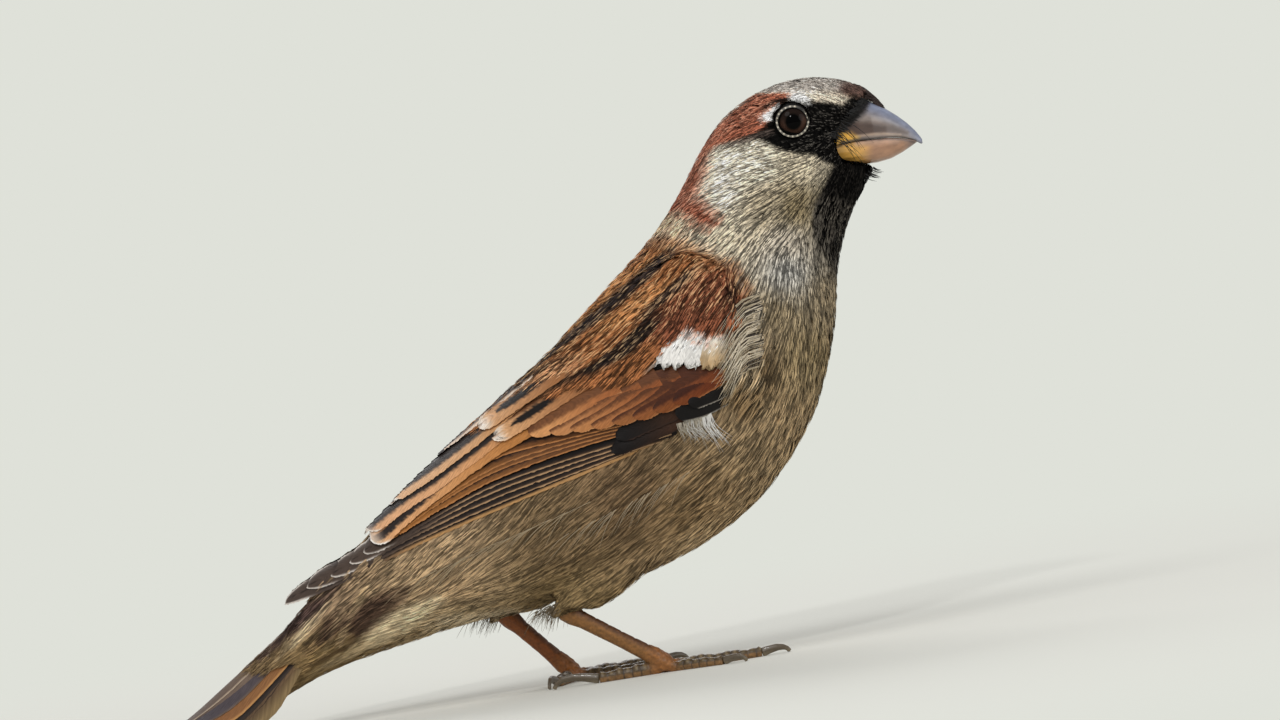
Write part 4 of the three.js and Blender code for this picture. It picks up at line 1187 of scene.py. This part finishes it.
def rectrices():
    """Six feathers of one side: the middle one on top, each next one further out and lower."""
    rim = ("98856f", 0.25, 5)
    rows = (  # mm out of the edge at x -44, -65 and -84, and the paint
        (0.9, 2.0, 2.8, {"web": ("806c58", "5a4c46"), "edge": ("b3a08a", 0.22), "shaft": ("3a302b", 0.14),
                         "rim": ("a8967f", 0.3, 6)}),
        (1.8, 4.4, 4.7, {"web": ("574c4e", "453f44"), "upper": ("362f31", 2.6), "edge": ("6b5a4e", 0.2),
                         "shaft": ("9294a0", 0.12), "rim": rim}),
        (2.6, 5.9, 6.0, {"web": ("8f653d", "805535"), "upper": ("2a211d", 2.1), "edge": ("b58450", 0.25),
                         "rim": rim}),
        # painted shade: this feather's near-black web stands for the shade along the closed tail's side
        (3.2, 6.5, 6.9, {"web": ("1d1713", "2a221e"), "edge": ("3d3129", 0.2), "rim": rim}),
        (3.7, 6.8, 7.6, {"web": ("5f4832", "4b3d32"), "upper": ("241a15", 1.1), "edge": ("7d6448", 0.2),
                         "rim": rim}),
        (4.0, 6.9, 8.1, {"web": ("665039", "524437"), "upper": ("33291f", 1.6), "edge": ("85704f", 0.25),
                         "rim": rim}),
    )
    made = []
    for i in reversed(range(6)):
        a, b, c, paint = rows[i]
        edge = [(-44, -a), (-54, -(a + b) / 2 - 0.2), (-65, -b), (-75, -(b + c) / 2), (-84 - 0.4 * i, -c)]
        level = -0.17 * i
        made.append(Vane(edge, 4.8, paint, tip=4.0, skew=0.45, heights=(level - 0.25, level), shingle=0.12,
                         ragged=0.015))
    return made


def on_tail(flat, height):
    """flat is (x, minus mm out from the middle line)."""
    x, y = flat.T
    ridge, half, drop, hang = (np.interp(-x, -TAIL[:, 0], values) for values in TAIL.T[1:])
    out = np.abs(y) / half
    outermost = step(0.95, 1.06, out)
    z = ridge - drop * np.minimum(out, 1.15) ** 1.3 - hang * outermost
    return np.stack([x, y * (1 - 0.12 * outermost), np.maximum(z + height, 0.1)], -1)


def make_tail():
    for side in SIDES:
        piece = feather_piece(f"rectrices_{side}", rectrices(), on_tail, side)
    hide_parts("tail")


# ---- bill, eyes, legs and claws ------------------------------------------------------------------
HORN = tinted_material("bill_horn", 0.34, 0.9, (0.4, 1, 1), 0.2, 0.3,
                       Specular_IOR_Level=0.5, Coat_Weight=0.4, Coat_Roughness=0.12)
EYE_GLOSS = tinted_material("eye_gloss", 0.6, 0.3, EVEN, 0.1, 0.0,
                            Specular_IOR_Level=0.0, Coat_Weight=0.12, Coat_Roughness=0.03)
LID = tinted_material("eyelid", 0.6, 0.2, EVEN, 0.15, 0.5)
SCUTES = tinted_material("scutes", 0.42, 0.35, EVEN, 0.18, 0.5,
                         Specular_IOR_Level=0.3, Coat_Weight=0.05, Coat_Roughness=0.3)
CLAW = tinted_material("claw_horn", 0.35, 0.3, EVEN, 0.12, 0.1, Specular_IOR_Level=0.35, Coat_Weight=0.1)
BRISTLE = tinted_material("bristle", 0.5, 0.2, EVEN, 0.1, 0.0)

UPPER_BILL = (
    "857870",
    # partly painted sheen: the culmen's grey horn with a painted bluish sheen along its top
    Streak("7a8198", [(46.8, 84), (49.6, 82.3), (51.9, 80.4), (53.6, 78.5), (54.7, 76.2)],
           (3.4, 3.0, 2.4, 1.4), 1.2),
    Streak("432f24", [(43, 80), (45, 79.6), (47.5, 79.3), (50, 78.8), (52.6, 77.7)],
           (2.4, 2.2, 1.8, 1.2, 0.5), 0.5, 0.9),
    # painted highlight along the upper bill's cutting edge
    Streak("b39a84", [(44.6, 78.5), (48, 78.3), (51.6, 77.6)], (0.35, 0.45, 0.3), 0.15, 0.7),
    Patch("efb648", [(40.5, 76.5), (40.5, 79.6), (42.0, 79.9), (43.8, 79.2), (44.9, 78.2), (44.6, 77)], 0.7),
    # painted shade: dark at the nostril, under the feathers that cover it
    Streak("3a3433", [(44.6, 81.2), (46.2, 82.2), (47.2, 83.2)], (0.8, 1.2, 0.6), 0.5, 0.85),
    Streak("3c3431", [(41, 77.4), (44.1, 77.9), (50.9, 77.2), (53.8, 76.2)], (0.35, 0.35, 0.35), 0.25, 0.9),
)
LOWER_BILL = (
    "a37a5e",
    Patch("ecb457", [(40.5, 74), (40.5, 78.5), (43.4, 78.5), (45.8, 76.4), (45, 73.4)], 1.6),
    # painted highlight along the lower bill's cutting edge
    Streak("c3a08c", [(44.5, 77.4), (48, 77.2), (51, 76.6)], (0.8, 1.0, 0.7), 0.5, 0.7),
    Patch("7c6860", [(52, 78), (55, 77), (55, 75), (52.4, 74.8)], 0.9, 0.8),
    Streak("4a3d38", [(41, 77.2), (44.1, 77.75), (50.9, 77.0), (53.6, 76.0)], (0.25, 0.25, 0.25), 0.2, 0.8),
)


def solid_piece(name, nodes, voxel, grow, smoothing, material, paint, shaped=None):
    """One smooth closed piece in place of CAD nodes."""
    points, quads = merged_shape(nodes, voxel, grow, smoothing)
    if shaped:
        points = shaped(points, point_normals(points, quads))
    x, y, z = (points - points.mean(0)).T
    uv = np.stack([(x - x.min()) / np.ptp(x), 0.5 + np.arctan2(y, z) / (2 * np.pi)], -1)
    piece = make_mesh(name, points, [quads], material, paint(points), {"OFBake": 0.01 + 0.98 * uv})
    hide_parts(*nodes)


def make_bill():
    for node, (ground, *marks) in (("bill_upper", UPPER_BILL), ("bill_lower", LOWER_BILL)):
        def paint(points):
            return marked(hue(ground), points, marks)

        solid_piece(f"{node}_horn", [node], 0.17, 0.13, 3, HORN, paint)


SECTIONS, CORNERS = 7, 3  # of a strand


def strands(name, paths, radius, colour):
    """Thin three-sided tapered strands through the given knots."""
    t = np.linspace(0, 1, SECTIONS)
    angle = np.arange(CORNERS)[:, None] * 2 * np.pi / CORNERS
    points, quads, tips = [], [], []
    for number, path in enumerate(paths):
        line = curve_through(path, t)
        forward = unit(np.gradient(line, axis=0))
        side = unit(np.cross(forward, (0.3, 0.9, 0.2)))
        other = np.cross(forward, side)
        ring = side[:, None] * np.cos(angle) + other[:, None] * np.sin(angle)
        points.append((line[:, None] + ring * (radius * (1 - 0.85 * t))[:, None, None]).reshape(-1, 3))
        start = number * SECTIONS * CORNERS
        quads.append(grid_quads(SECTIONS, CORNERS, start).reshape(-1, 4))
        tips.append(start + (SECTIONS - 1) * CORNERS + np.arange(CORNERS))
    points, faces = np.concatenate(points), [np.concatenate(quads), np.array(tips)]
    make_mesh(name, points, faces, BRISTLE, hue(colour), {"OFBake": body_map(points)})


# The toes' joint and the heel.
FEET = {"right": ((0.9, -8.6, 1.75), (-13.4, -8.9, 12.3)), "left": ((-14.0, 8.6, 1.75), (-23.2, 8.9, 12.6))}

# Loose barbs over the wing and flank: how many, the lines their roots and tips lie on, their bow, height,
# radius and colour.
WISPS = (
    (44, ((10.5, 39.0), (14.8, 39.6)), ((11.8, 36.0), (16.4, 34.6)), 0.6, 0.4, 0.075, "e4e1dc"),
    (50, ((9, 38.8), (13, 39.2)), ((9.6, 36.6), (13.4, 35.4)), 0.3, 0.35, 0.075, "b5ab9a"),
    (50, ((25.8, 57.2), (24.2, 45.5)), ((18.5, 51.0), (16.6, 40.6)), 1.6, 0.6, 0.13, "b9aa90"),
    # painted shade: these dark wisps stand for the shade between the light strands
    (44, ((25.8, 57.2), (24.2, 45.5)), ((18.6, 51.0), (16.8, 41.0)), 1.5, 0.55, 0.13, "3c3125"),
    # painted highlight: the lightest wisps, on top, stand for light on the strands
    (24, ((25.6, 55), (24.2, 46)), ((18.2, 49), (16.6, 41.5)), 1.7, 0.75, 0.13, "dccfb8"),
    (36, ((-4, 29.5), (-36, 21)), ((-9, 26.4), (-42, 17.6)), 0.3, 0.15, 0.075, "b09d7e"),
    (26, ((10, 31), (-12, 24)), ((6, 27), (-17, 20)), 0.3, 0.15, 0.075, "ae9c80"),
)


def make_wisps():
    for side in SIDES:
        for number, (count, root_line, tip_line, bow, height, radius, colour) in enumerate(WISPS, 1):
            s = rng.random(count)
            root = mix(*np.array(root_line), s)
            tip = mix(*np.array(tip_line), s) + rng.normal(0, 0.7, (count, 2))
            reach = np.linalg.norm(tip - root, axis=1, keepdims=True)
            bend = (tip - root)[:, ::-1] * (1, -1) / reach * bow
            flat = np.stack([root, root * 0.6 + tip * 0.4 + bend, tip], 1)
            at, normal = whole_shape.from_right(*flat.reshape(-1, 2).T)
            paths = (at + normal * height * np.tile((-0.4, 0.8, 1.0), count)[:, None]).reshape(count, 3, 3)
            if side == "left":
                paths = paths * (1, -1, 1)
            strands(f"wisps_{number}_{side}", paths, radius, colour)


def forehead_height(x):
    """The height of the forehead's outline over the root of the bill."""
    heights = (87.4, 86.9, 86.2, 85.4, 84.3, 83.4, 82.5)
    return np.interp(x, (44.5, 45.6, 46.7, 47.6, 48.6, 49.3, 49.9), heights)


def from_root(x, y, z, *steps):
    """A strand's knots from the body's nearest place, where steps lead on from it."""
    root = whole_shape.nearest(np.array([[x, y, z]]))[0]
    return root + ((0, 0, 0), *steps)


def make_bristles():
    """Bristles over the gape and under the chin."""
    paths = []
    for sign in (-1, 1):
        for i in range(10):
            reach, fall = rng.uniform(2.3, 4.2), rng.uniform(2.6, 4.8)
            steps = ((reach * 0.35, sign * 0.5, -fall * 0.2), (reach * 0.75, sign * 0.6, -fall * 0.62),
                     (reach, sign * 0.4, -fall))
            paths.append(from_root(41.0 + 0.3 * i, sign * 7.0, 78.4 + 0.24 * i, *steps))
        for _ in range(16):
            x, y, reach = rng.uniform(43.5, 48), sign * rng.uniform(0.4, 3.2), rng.uniform(0.8, 1.7)
            steps = ((reach * 0.4, 0, -reach * 0.35), (reach, sign * 0.1, -reach * 0.6))
            paths.append(from_root(x, y, 72.6, *steps))
    strands("bristles", paths, 0.1, "0c0a09")


def make_forehead_barbs():
    """The forehead's last feathers, over the root of the culmen."""
    paths = []
    for _ in range(320):
        x, y = rng.uniform(45.6, 48.4), rng.uniform(-1.3, 1.3)
        reach, depth = rng.uniform(0.9, 1.9), rng.uniform(0.0, 0.95)
        along = np.minimum(x + reach * np.array((0, 0.5, 1)), 50)
        out = y * np.array((1, 0.85, 0.6))
        height = forehead_height(along) - 0.3 * out**2 - depth * np.array((1.5, 1.0, 0.9))
        paths.append(np.stack([along, out, height], -1))
    strands("forehead_barbs", paths, 0.13, "33241f")


def make_mask_barbs():
    """The mask's last feathers, over the root of the bill."""
    paths, count = [], 300
    for sign in (-1, 1):
        share = rng.random(count)
        root = mix(np.array((46.7, 84.4)), np.array((40.6, 79.0)), share) + rng.normal(0, 0.25, (count, 2))
        way = mix(np.array((0.75, -0.75)), np.array((0.95, -0.3)), share)
        tip = root + rng.uniform(0.6, 1.5, (count, 1)) * way
        at, normal = head_shape.from_right(*np.stack([root, (root + tip) / 2, tip], 1).reshape(-1, 2).T)
        at = at + normal * np.tile((-0.2, 0.16, 0.2), count)[:, None]
        paths += list(at.reshape(count, 3, 3) * (1, -sign, 1))
    strands("mask_barbs", paths, 0.085, "0c0a09")


def make_heel_barbs():
    """Hair-like feathers at the heels."""
    paths = []
    for side in SIDES:
        for _ in range(110):
            root = np.array(FEET[side][1]) + rng.normal(0, (1.6, 0.8, 0.4)) + (-1.2, 0, 0.7)
            reach, fall, sway = rng.uniform(0.8, 3.4), rng.uniform(0.8, 3.6), rng.uniform(-0.5, 0.5)
            paths.append(root + ((0, 0, 0), (-reach * 0.5, 0, -fall * 0.35), (-reach, sway, -fall)))
    strands("heel_barbs", paths, 0.075, "75664f")


EYE_OPENING = (2.22, 2.12)  # half sizes of the opening between the lids
EYE_CENTRE = (34.95, 82.5)  # the opening's middle, seen from the side
BEADS = 21  # pale beads in the ring round the eye


def make_eyeball(side, sign, centre):
    """The ball's outer half, painted by the distance from its pole, which faces straight out."""
    rings, around = 40, 64
    tilt = np.linspace(0, np.pi / 2, rings)[:, None]
    turn = np.linspace(0, 2 * np.pi, around, endpoint=False)[None]
    x, z = np.sin(tilt) * np.cos(turn), np.sin(tilt) * np.sin(turn)
    direction = np.stack([x, sign * np.cos(tilt) * np.ones_like(turn), z], -1).reshape(-1, 3)
    ball = centre + direction * EYE_RADIUS
    away = np.repeat(np.sin(tilt[:, 0]) * EYE_RADIUS, around)
    streaks = 1 + 0.12 * np.sin(np.tile(turn[0], rings) * 23) * np.sin(away * 5)
    colour = layered(hue("000000"), ("261a14", step(1.1, 1.25, away))) * streaks[:, None]
    colour = layered(colour, ("4b362c", step(1.2, 1.55, away) * step(2.2, 1.95, away) * 0.85))
    # painted shade: the ball is darker towards its top, under the upper lid and brow
    colour = colour * (1 - 0.55 * step(-0.4, 1.2, (ball - centre)[:, 2]))[:, None]
    colour = layered(colour, ("0b0908", step(2.08, 2.22, away)))
    quads = grid_quads(rings, around).reshape(-1, 4)[:, ::sign]
    uvs = {"OFBake": 0.5 + direction[:, [0, 2]] * 0.48}
    piece = make_mesh(f"eyeball_{side}", ball, [quads], EYE_GLOSS, colour, uvs)
    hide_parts(f"eye_{side}")


def make_eyelid(side, sign, centre):
    """A rim round the opening with a ring of pale beads outside it."""
    rings, around = 15, 180
    across = np.linspace(0, 1, rings)
    turn = np.linspace(0, 2 * np.pi, around, endpoint=False)
    spread = 1 + np.outer(across, np.ones_like(turn)) * 0.23
    x = spread * EYE_OPENING[0] * np.cos(turn)
    z = spread * EYE_OPENING[1] * np.sin(turn)
    depth = np.sqrt(np.maximum(EYE_RADIUS**2 - x**2 - z**2, 0.2))
    bead = np.maximum(0, np.sin(turn * BEADS)) ** 0.7
    rim = 0.16 * np.exp(-(((across - 0.1) / 0.12) ** 2))[:, None]
    bump = rim + np.exp(-(((across - 0.36) / 0.2) ** 2))[:, None] * (0.1 + 0.12 * bead)
    out = sign * centre[1] + depth + 0.03 + bump - 0.12 * (across[:, None] < 0.02)
    coat = head_shape.from_right((EYE_CENTRE[0] + x).ravel(), (EYE_CENTRE[1] + z).ravel())[0][:, 1]
    # high enough that no barb lies over the ring
    above_coat = np.abs(coat).reshape(x.shape) + bump + 0.1 - 0.35 * step(0.8, 1.0, across)[:, None]
    out = out + (np.maximum(out, above_coat) - out) * step(0.0, 0.25, across)[:, None]
    points = np.stack([EYE_CENTRE[0] + x, sign * out, EYE_CENTRE[1] + z], -1).reshape(-1, 3)
    pale = step(0.16, 0.34, across)[:, None] * (0.48 + 0.52 * bead) * step(0.9, 0.72, across)[:, None]
    gap = step(0.35, 0.15, np.abs(turn - math.radians(48)))  # the ring is broken above the eye's front corner
    colour = layered(hue("0d0b0a"), ("dad1bd", (pale * (1 - 0.75 * gap)).ravel()))
    quads = grid_quads(rings, around).reshape(-1, 4)[:, ::sign]
    uvs = {"OFBake": 0.5 + np.stack([x, z], -1).reshape(-1, 2) / 7.2}
    make_mesh(f"eyelid_{side}", points, [quads], LID, colour, uvs)


def make_eye(side):
    sign = -1 if side == "right" else 1
    centre = EYE_AT * (1, -sign, 1) + (0.15, 0, 0.1)
    make_eyeball(side, sign, centre)
    make_eyelid(side, sign, centre)


TOES = ("hallux", "inner_toe", "middle_toe", "outer_toe")
SCALE_LENGTH, RING_LENGTH = 1.35, 2.3  # of the toes' knuckles, and of the rings up the front of the leg


def make_leg(side):
    joint, heel = np.array(FEET[side])
    shank = unit(heel - joint)
    forwards = unit(np.cross(shank, (0, 1, 0)) * -1)

    def measured(points):
        """(mm up the leg, mm away from the joint over the ground, from 0 to 1 at each knuckle's crest)"""
        away = np.hypot(points[:, 0] - joint[0], points[:, 1] - joint[1])
        return (points - joint) @ shank, away, np.abs(np.sin(np.pi * away / SCALE_LENGTH + 0.4))

    def shaped(points, normals):
        up_leg, away, crest = measured(points)
        on_toes = step(2.6, 1.8, points[:, 2]) * step(1.2, 2.4, away)
        rings = -np.exp(-((((up_leg % RING_LENGTH) - 1.15) / 0.16) ** 2)) * step(2, 3.5, up_leg)
        front = step(0.1, 0.8, normals @ forwards)
        push = 0.16 * on_toes * (crest**0.6 - 0.75) * step(-0.3, 0.4, normals[:, 2])
        push = push + 0.1 * rings * front * (1 - on_toes)
        crumple = 0.07 * Ripple(1.1)(points) * step(3.5, 1.5, np.linalg.norm(points - joint, axis=1))
        moved = points + normals * (push + crumple)[:, None]
        moved[:, 2] = np.maximum(moved[:, 2], 0.0)
        return moved

    def paint(points):
        up_leg, away, crest = measured(points)
        on_toes = step(2.8, 1.6, points[:, 2]) * step(1.5, 3.5, away)
        forward = (points - joint - up_leg[:, None] * shank) @ forwards
        ground = hue("82491f" if side == "left" else "80582f")
        colour = layered(ground, ("4a2f22", step(0.25, 0.95, forward) * 0.75),
                         ("8f5c30", step(4.5, 1.5, up_leg) * 0.7))
        # painted light on the knuckles' tops and painted shade in the grooves between the knuckles
        toe = layered(hue("4f402c"), ("7d5e3c", step(0.2, -0.1, points[:, 2] - 0.75)),
                      ("8b7a5c", step(0.75, 1.0, crest) * step(0.8, 1.3, points[:, 2]) * 0.6),
                      ("2d241f", step(0.3, 0.0, crest) * 0.8))
        return mix(colour, toe, on_toes) * (1 + 0.07 * Ripple(0.9)(points))[:, None]

    def horn(points):
        return layered(hue("5a4f40"), ("857860", step(0.9, 0.1, points[:, 2]) * 0.6))

    bones = [f"{bone}_{side}" for bone in ("tarsus", *TOES)]
    solid_piece(f"leg_{side}", bones, 0.2, 0.16, 3, SCUTES, paint, shaped)
    claws = [f"{toe}_claw_{side}" for toe in TOES]
    solid_piece(f"claws_{side}", claws, 0.13, 0.13, 1, CLAW, horn)


# ---- stage ---------------------------------------------------------------------------------------
# The bird stands on level ground, and in the picture the ground climbs to the right by SLOPE, so the
# camera is rolled by that much.
SLOPE = math.radians(9.5)
LOOK_AT = np.array((5.0, 0.0, 49.1))
VIEW_WIDTH = 203.2  # mm across the picture at the bird
DISTANCE = 1500.0
RISE = math.radians(1.5)


def make_camera():
    camera = bpy.data.objects.new("camera", bpy.data.cameras.new("camera"))
    bpy.context.scene.collection.objects.link(camera)
    back = Vector((0, -math.cos(RISE), math.sin(RISE)))
    right = Vector((math.cos(SLOPE), 0, -math.sin(SLOPE)))
    right = (right - right.dot(back) * back).normalized()
    up = back.cross(right)
    turn = Matrix((right, up, back)).transposed().to_4x4()
    camera.matrix_world = Matrix.Translation(Vector(to_row(LOOK_AT)) + back * DISTANCE / 1000) @ turn
    camera.data.sensor_width = 36
    camera.data.lens = 36 * DISTANCE / VIEW_WIDTH
    camera.data.clip_start, camera.data.clip_end = 0.05, 20
    bpy.context.scene.camera = camera


BACKDROP = (*linear(hue("dfe1d9")), 1)
LAMPS = {  # (place in metres, size, power in watts)
    "key": ((-0.45, -0.65, 1.05), 0.6, 3.6),
    "fill": ((0.9, -0.6, 0.35), 0.7, 2.6),
    "back": ((-0.1, 0.9, 0.7), 0.7, 4.0),
    "catch": ((-0.14, -0.96, 0.76), 0.11, 2.8),
}


def make_floor():
    bpy.ops.mesh.primitive_plane_add(size=6, location=(0, 0, 0))
    floor = bpy.context.object
    floor.name = "floor"
    material, tree, shader = new_material("floor", Roughness=0.9, Base_Color=(*linear(hue("dcdcd4")), 1))
    # seen by the camera, the floor fades into the backdrop's colour away from the bird
    place, away = new_node(tree, "NewGeometry"), new_node(tree, "VectorMath", {"operation": "LENGTH"})
    fade = new_node(tree, "MapRange", From_Min=0.1, From_Max=0.3)
    path, both = new_node(tree, "LightPath"), new_node(tree, "Math", {"operation": "MULTIPLY"})
    plain, share = new_node(tree, "Emission", Color=BACKDROP), new_node(tree, "MixShader")
    join(tree, (place, "Position", away, 0), (away, "Value", fade, "Value"), (fade, "Result", both, 0),
         (path, "Is Camera Ray", both, 1), (both, "Value", share, 0), (shader, 0, share, 1),
         (plain, 0, share, 2), (share, 0, tree.nodes["Material Output"], "Surface"))
    floor.data.materials.append(material)


def make_lights():
    world = bpy.data.worlds.new("studio")
    world.use_nodes = True
    tree = world.node_tree
    ambient = tree.nodes["Background"]
    ambient.inputs["Color"].default_value = (1, 1, 1, 1)
    ambient.inputs["Strength"].default_value = 0.5
    pale = new_node(tree, "Background", Color=BACKDROP)
    path, share = new_node(tree, "LightPath"), new_node(tree, "MixShader")
    join(tree, (path, "Is Camera Ray", share, 0), (ambient, 0, share, 1), (pale, 0, share, 2),
         (share, 0, tree.nodes["World Output"], "Surface"))
    bpy.context.scene.world = world
    for name, (place, size, power) in LAMPS.items():
        lamp = bpy.data.objects.new(name, bpy.data.lights.new(name, "AREA"))
        lamp.data.shape, lamp.data.size, lamp.data.energy = "DISK", size, power
        lamp.visible_camera = False
        lamp.location = place
        aim = Vector(to_row((0, 0, 50))) - lamp.location
        lamp.rotation_euler = aim.to_track_quat("-Z", "Y").to_euler()
        bpy.context.scene.collection.objects.link(lamp)


bpy.context.scene.view_settings.view_transform = "Standard"
make_camera()
make_floor()
make_lights()
make_skin()
make_coat()
make_wings()
make_tail()
make_bill()
make_bristles()
make_forehead_barbs()
make_mask_barbs()
make_heel_barbs()
make_wisps()
for side in SIDES:
    make_eye(side)
    make_leg(side)
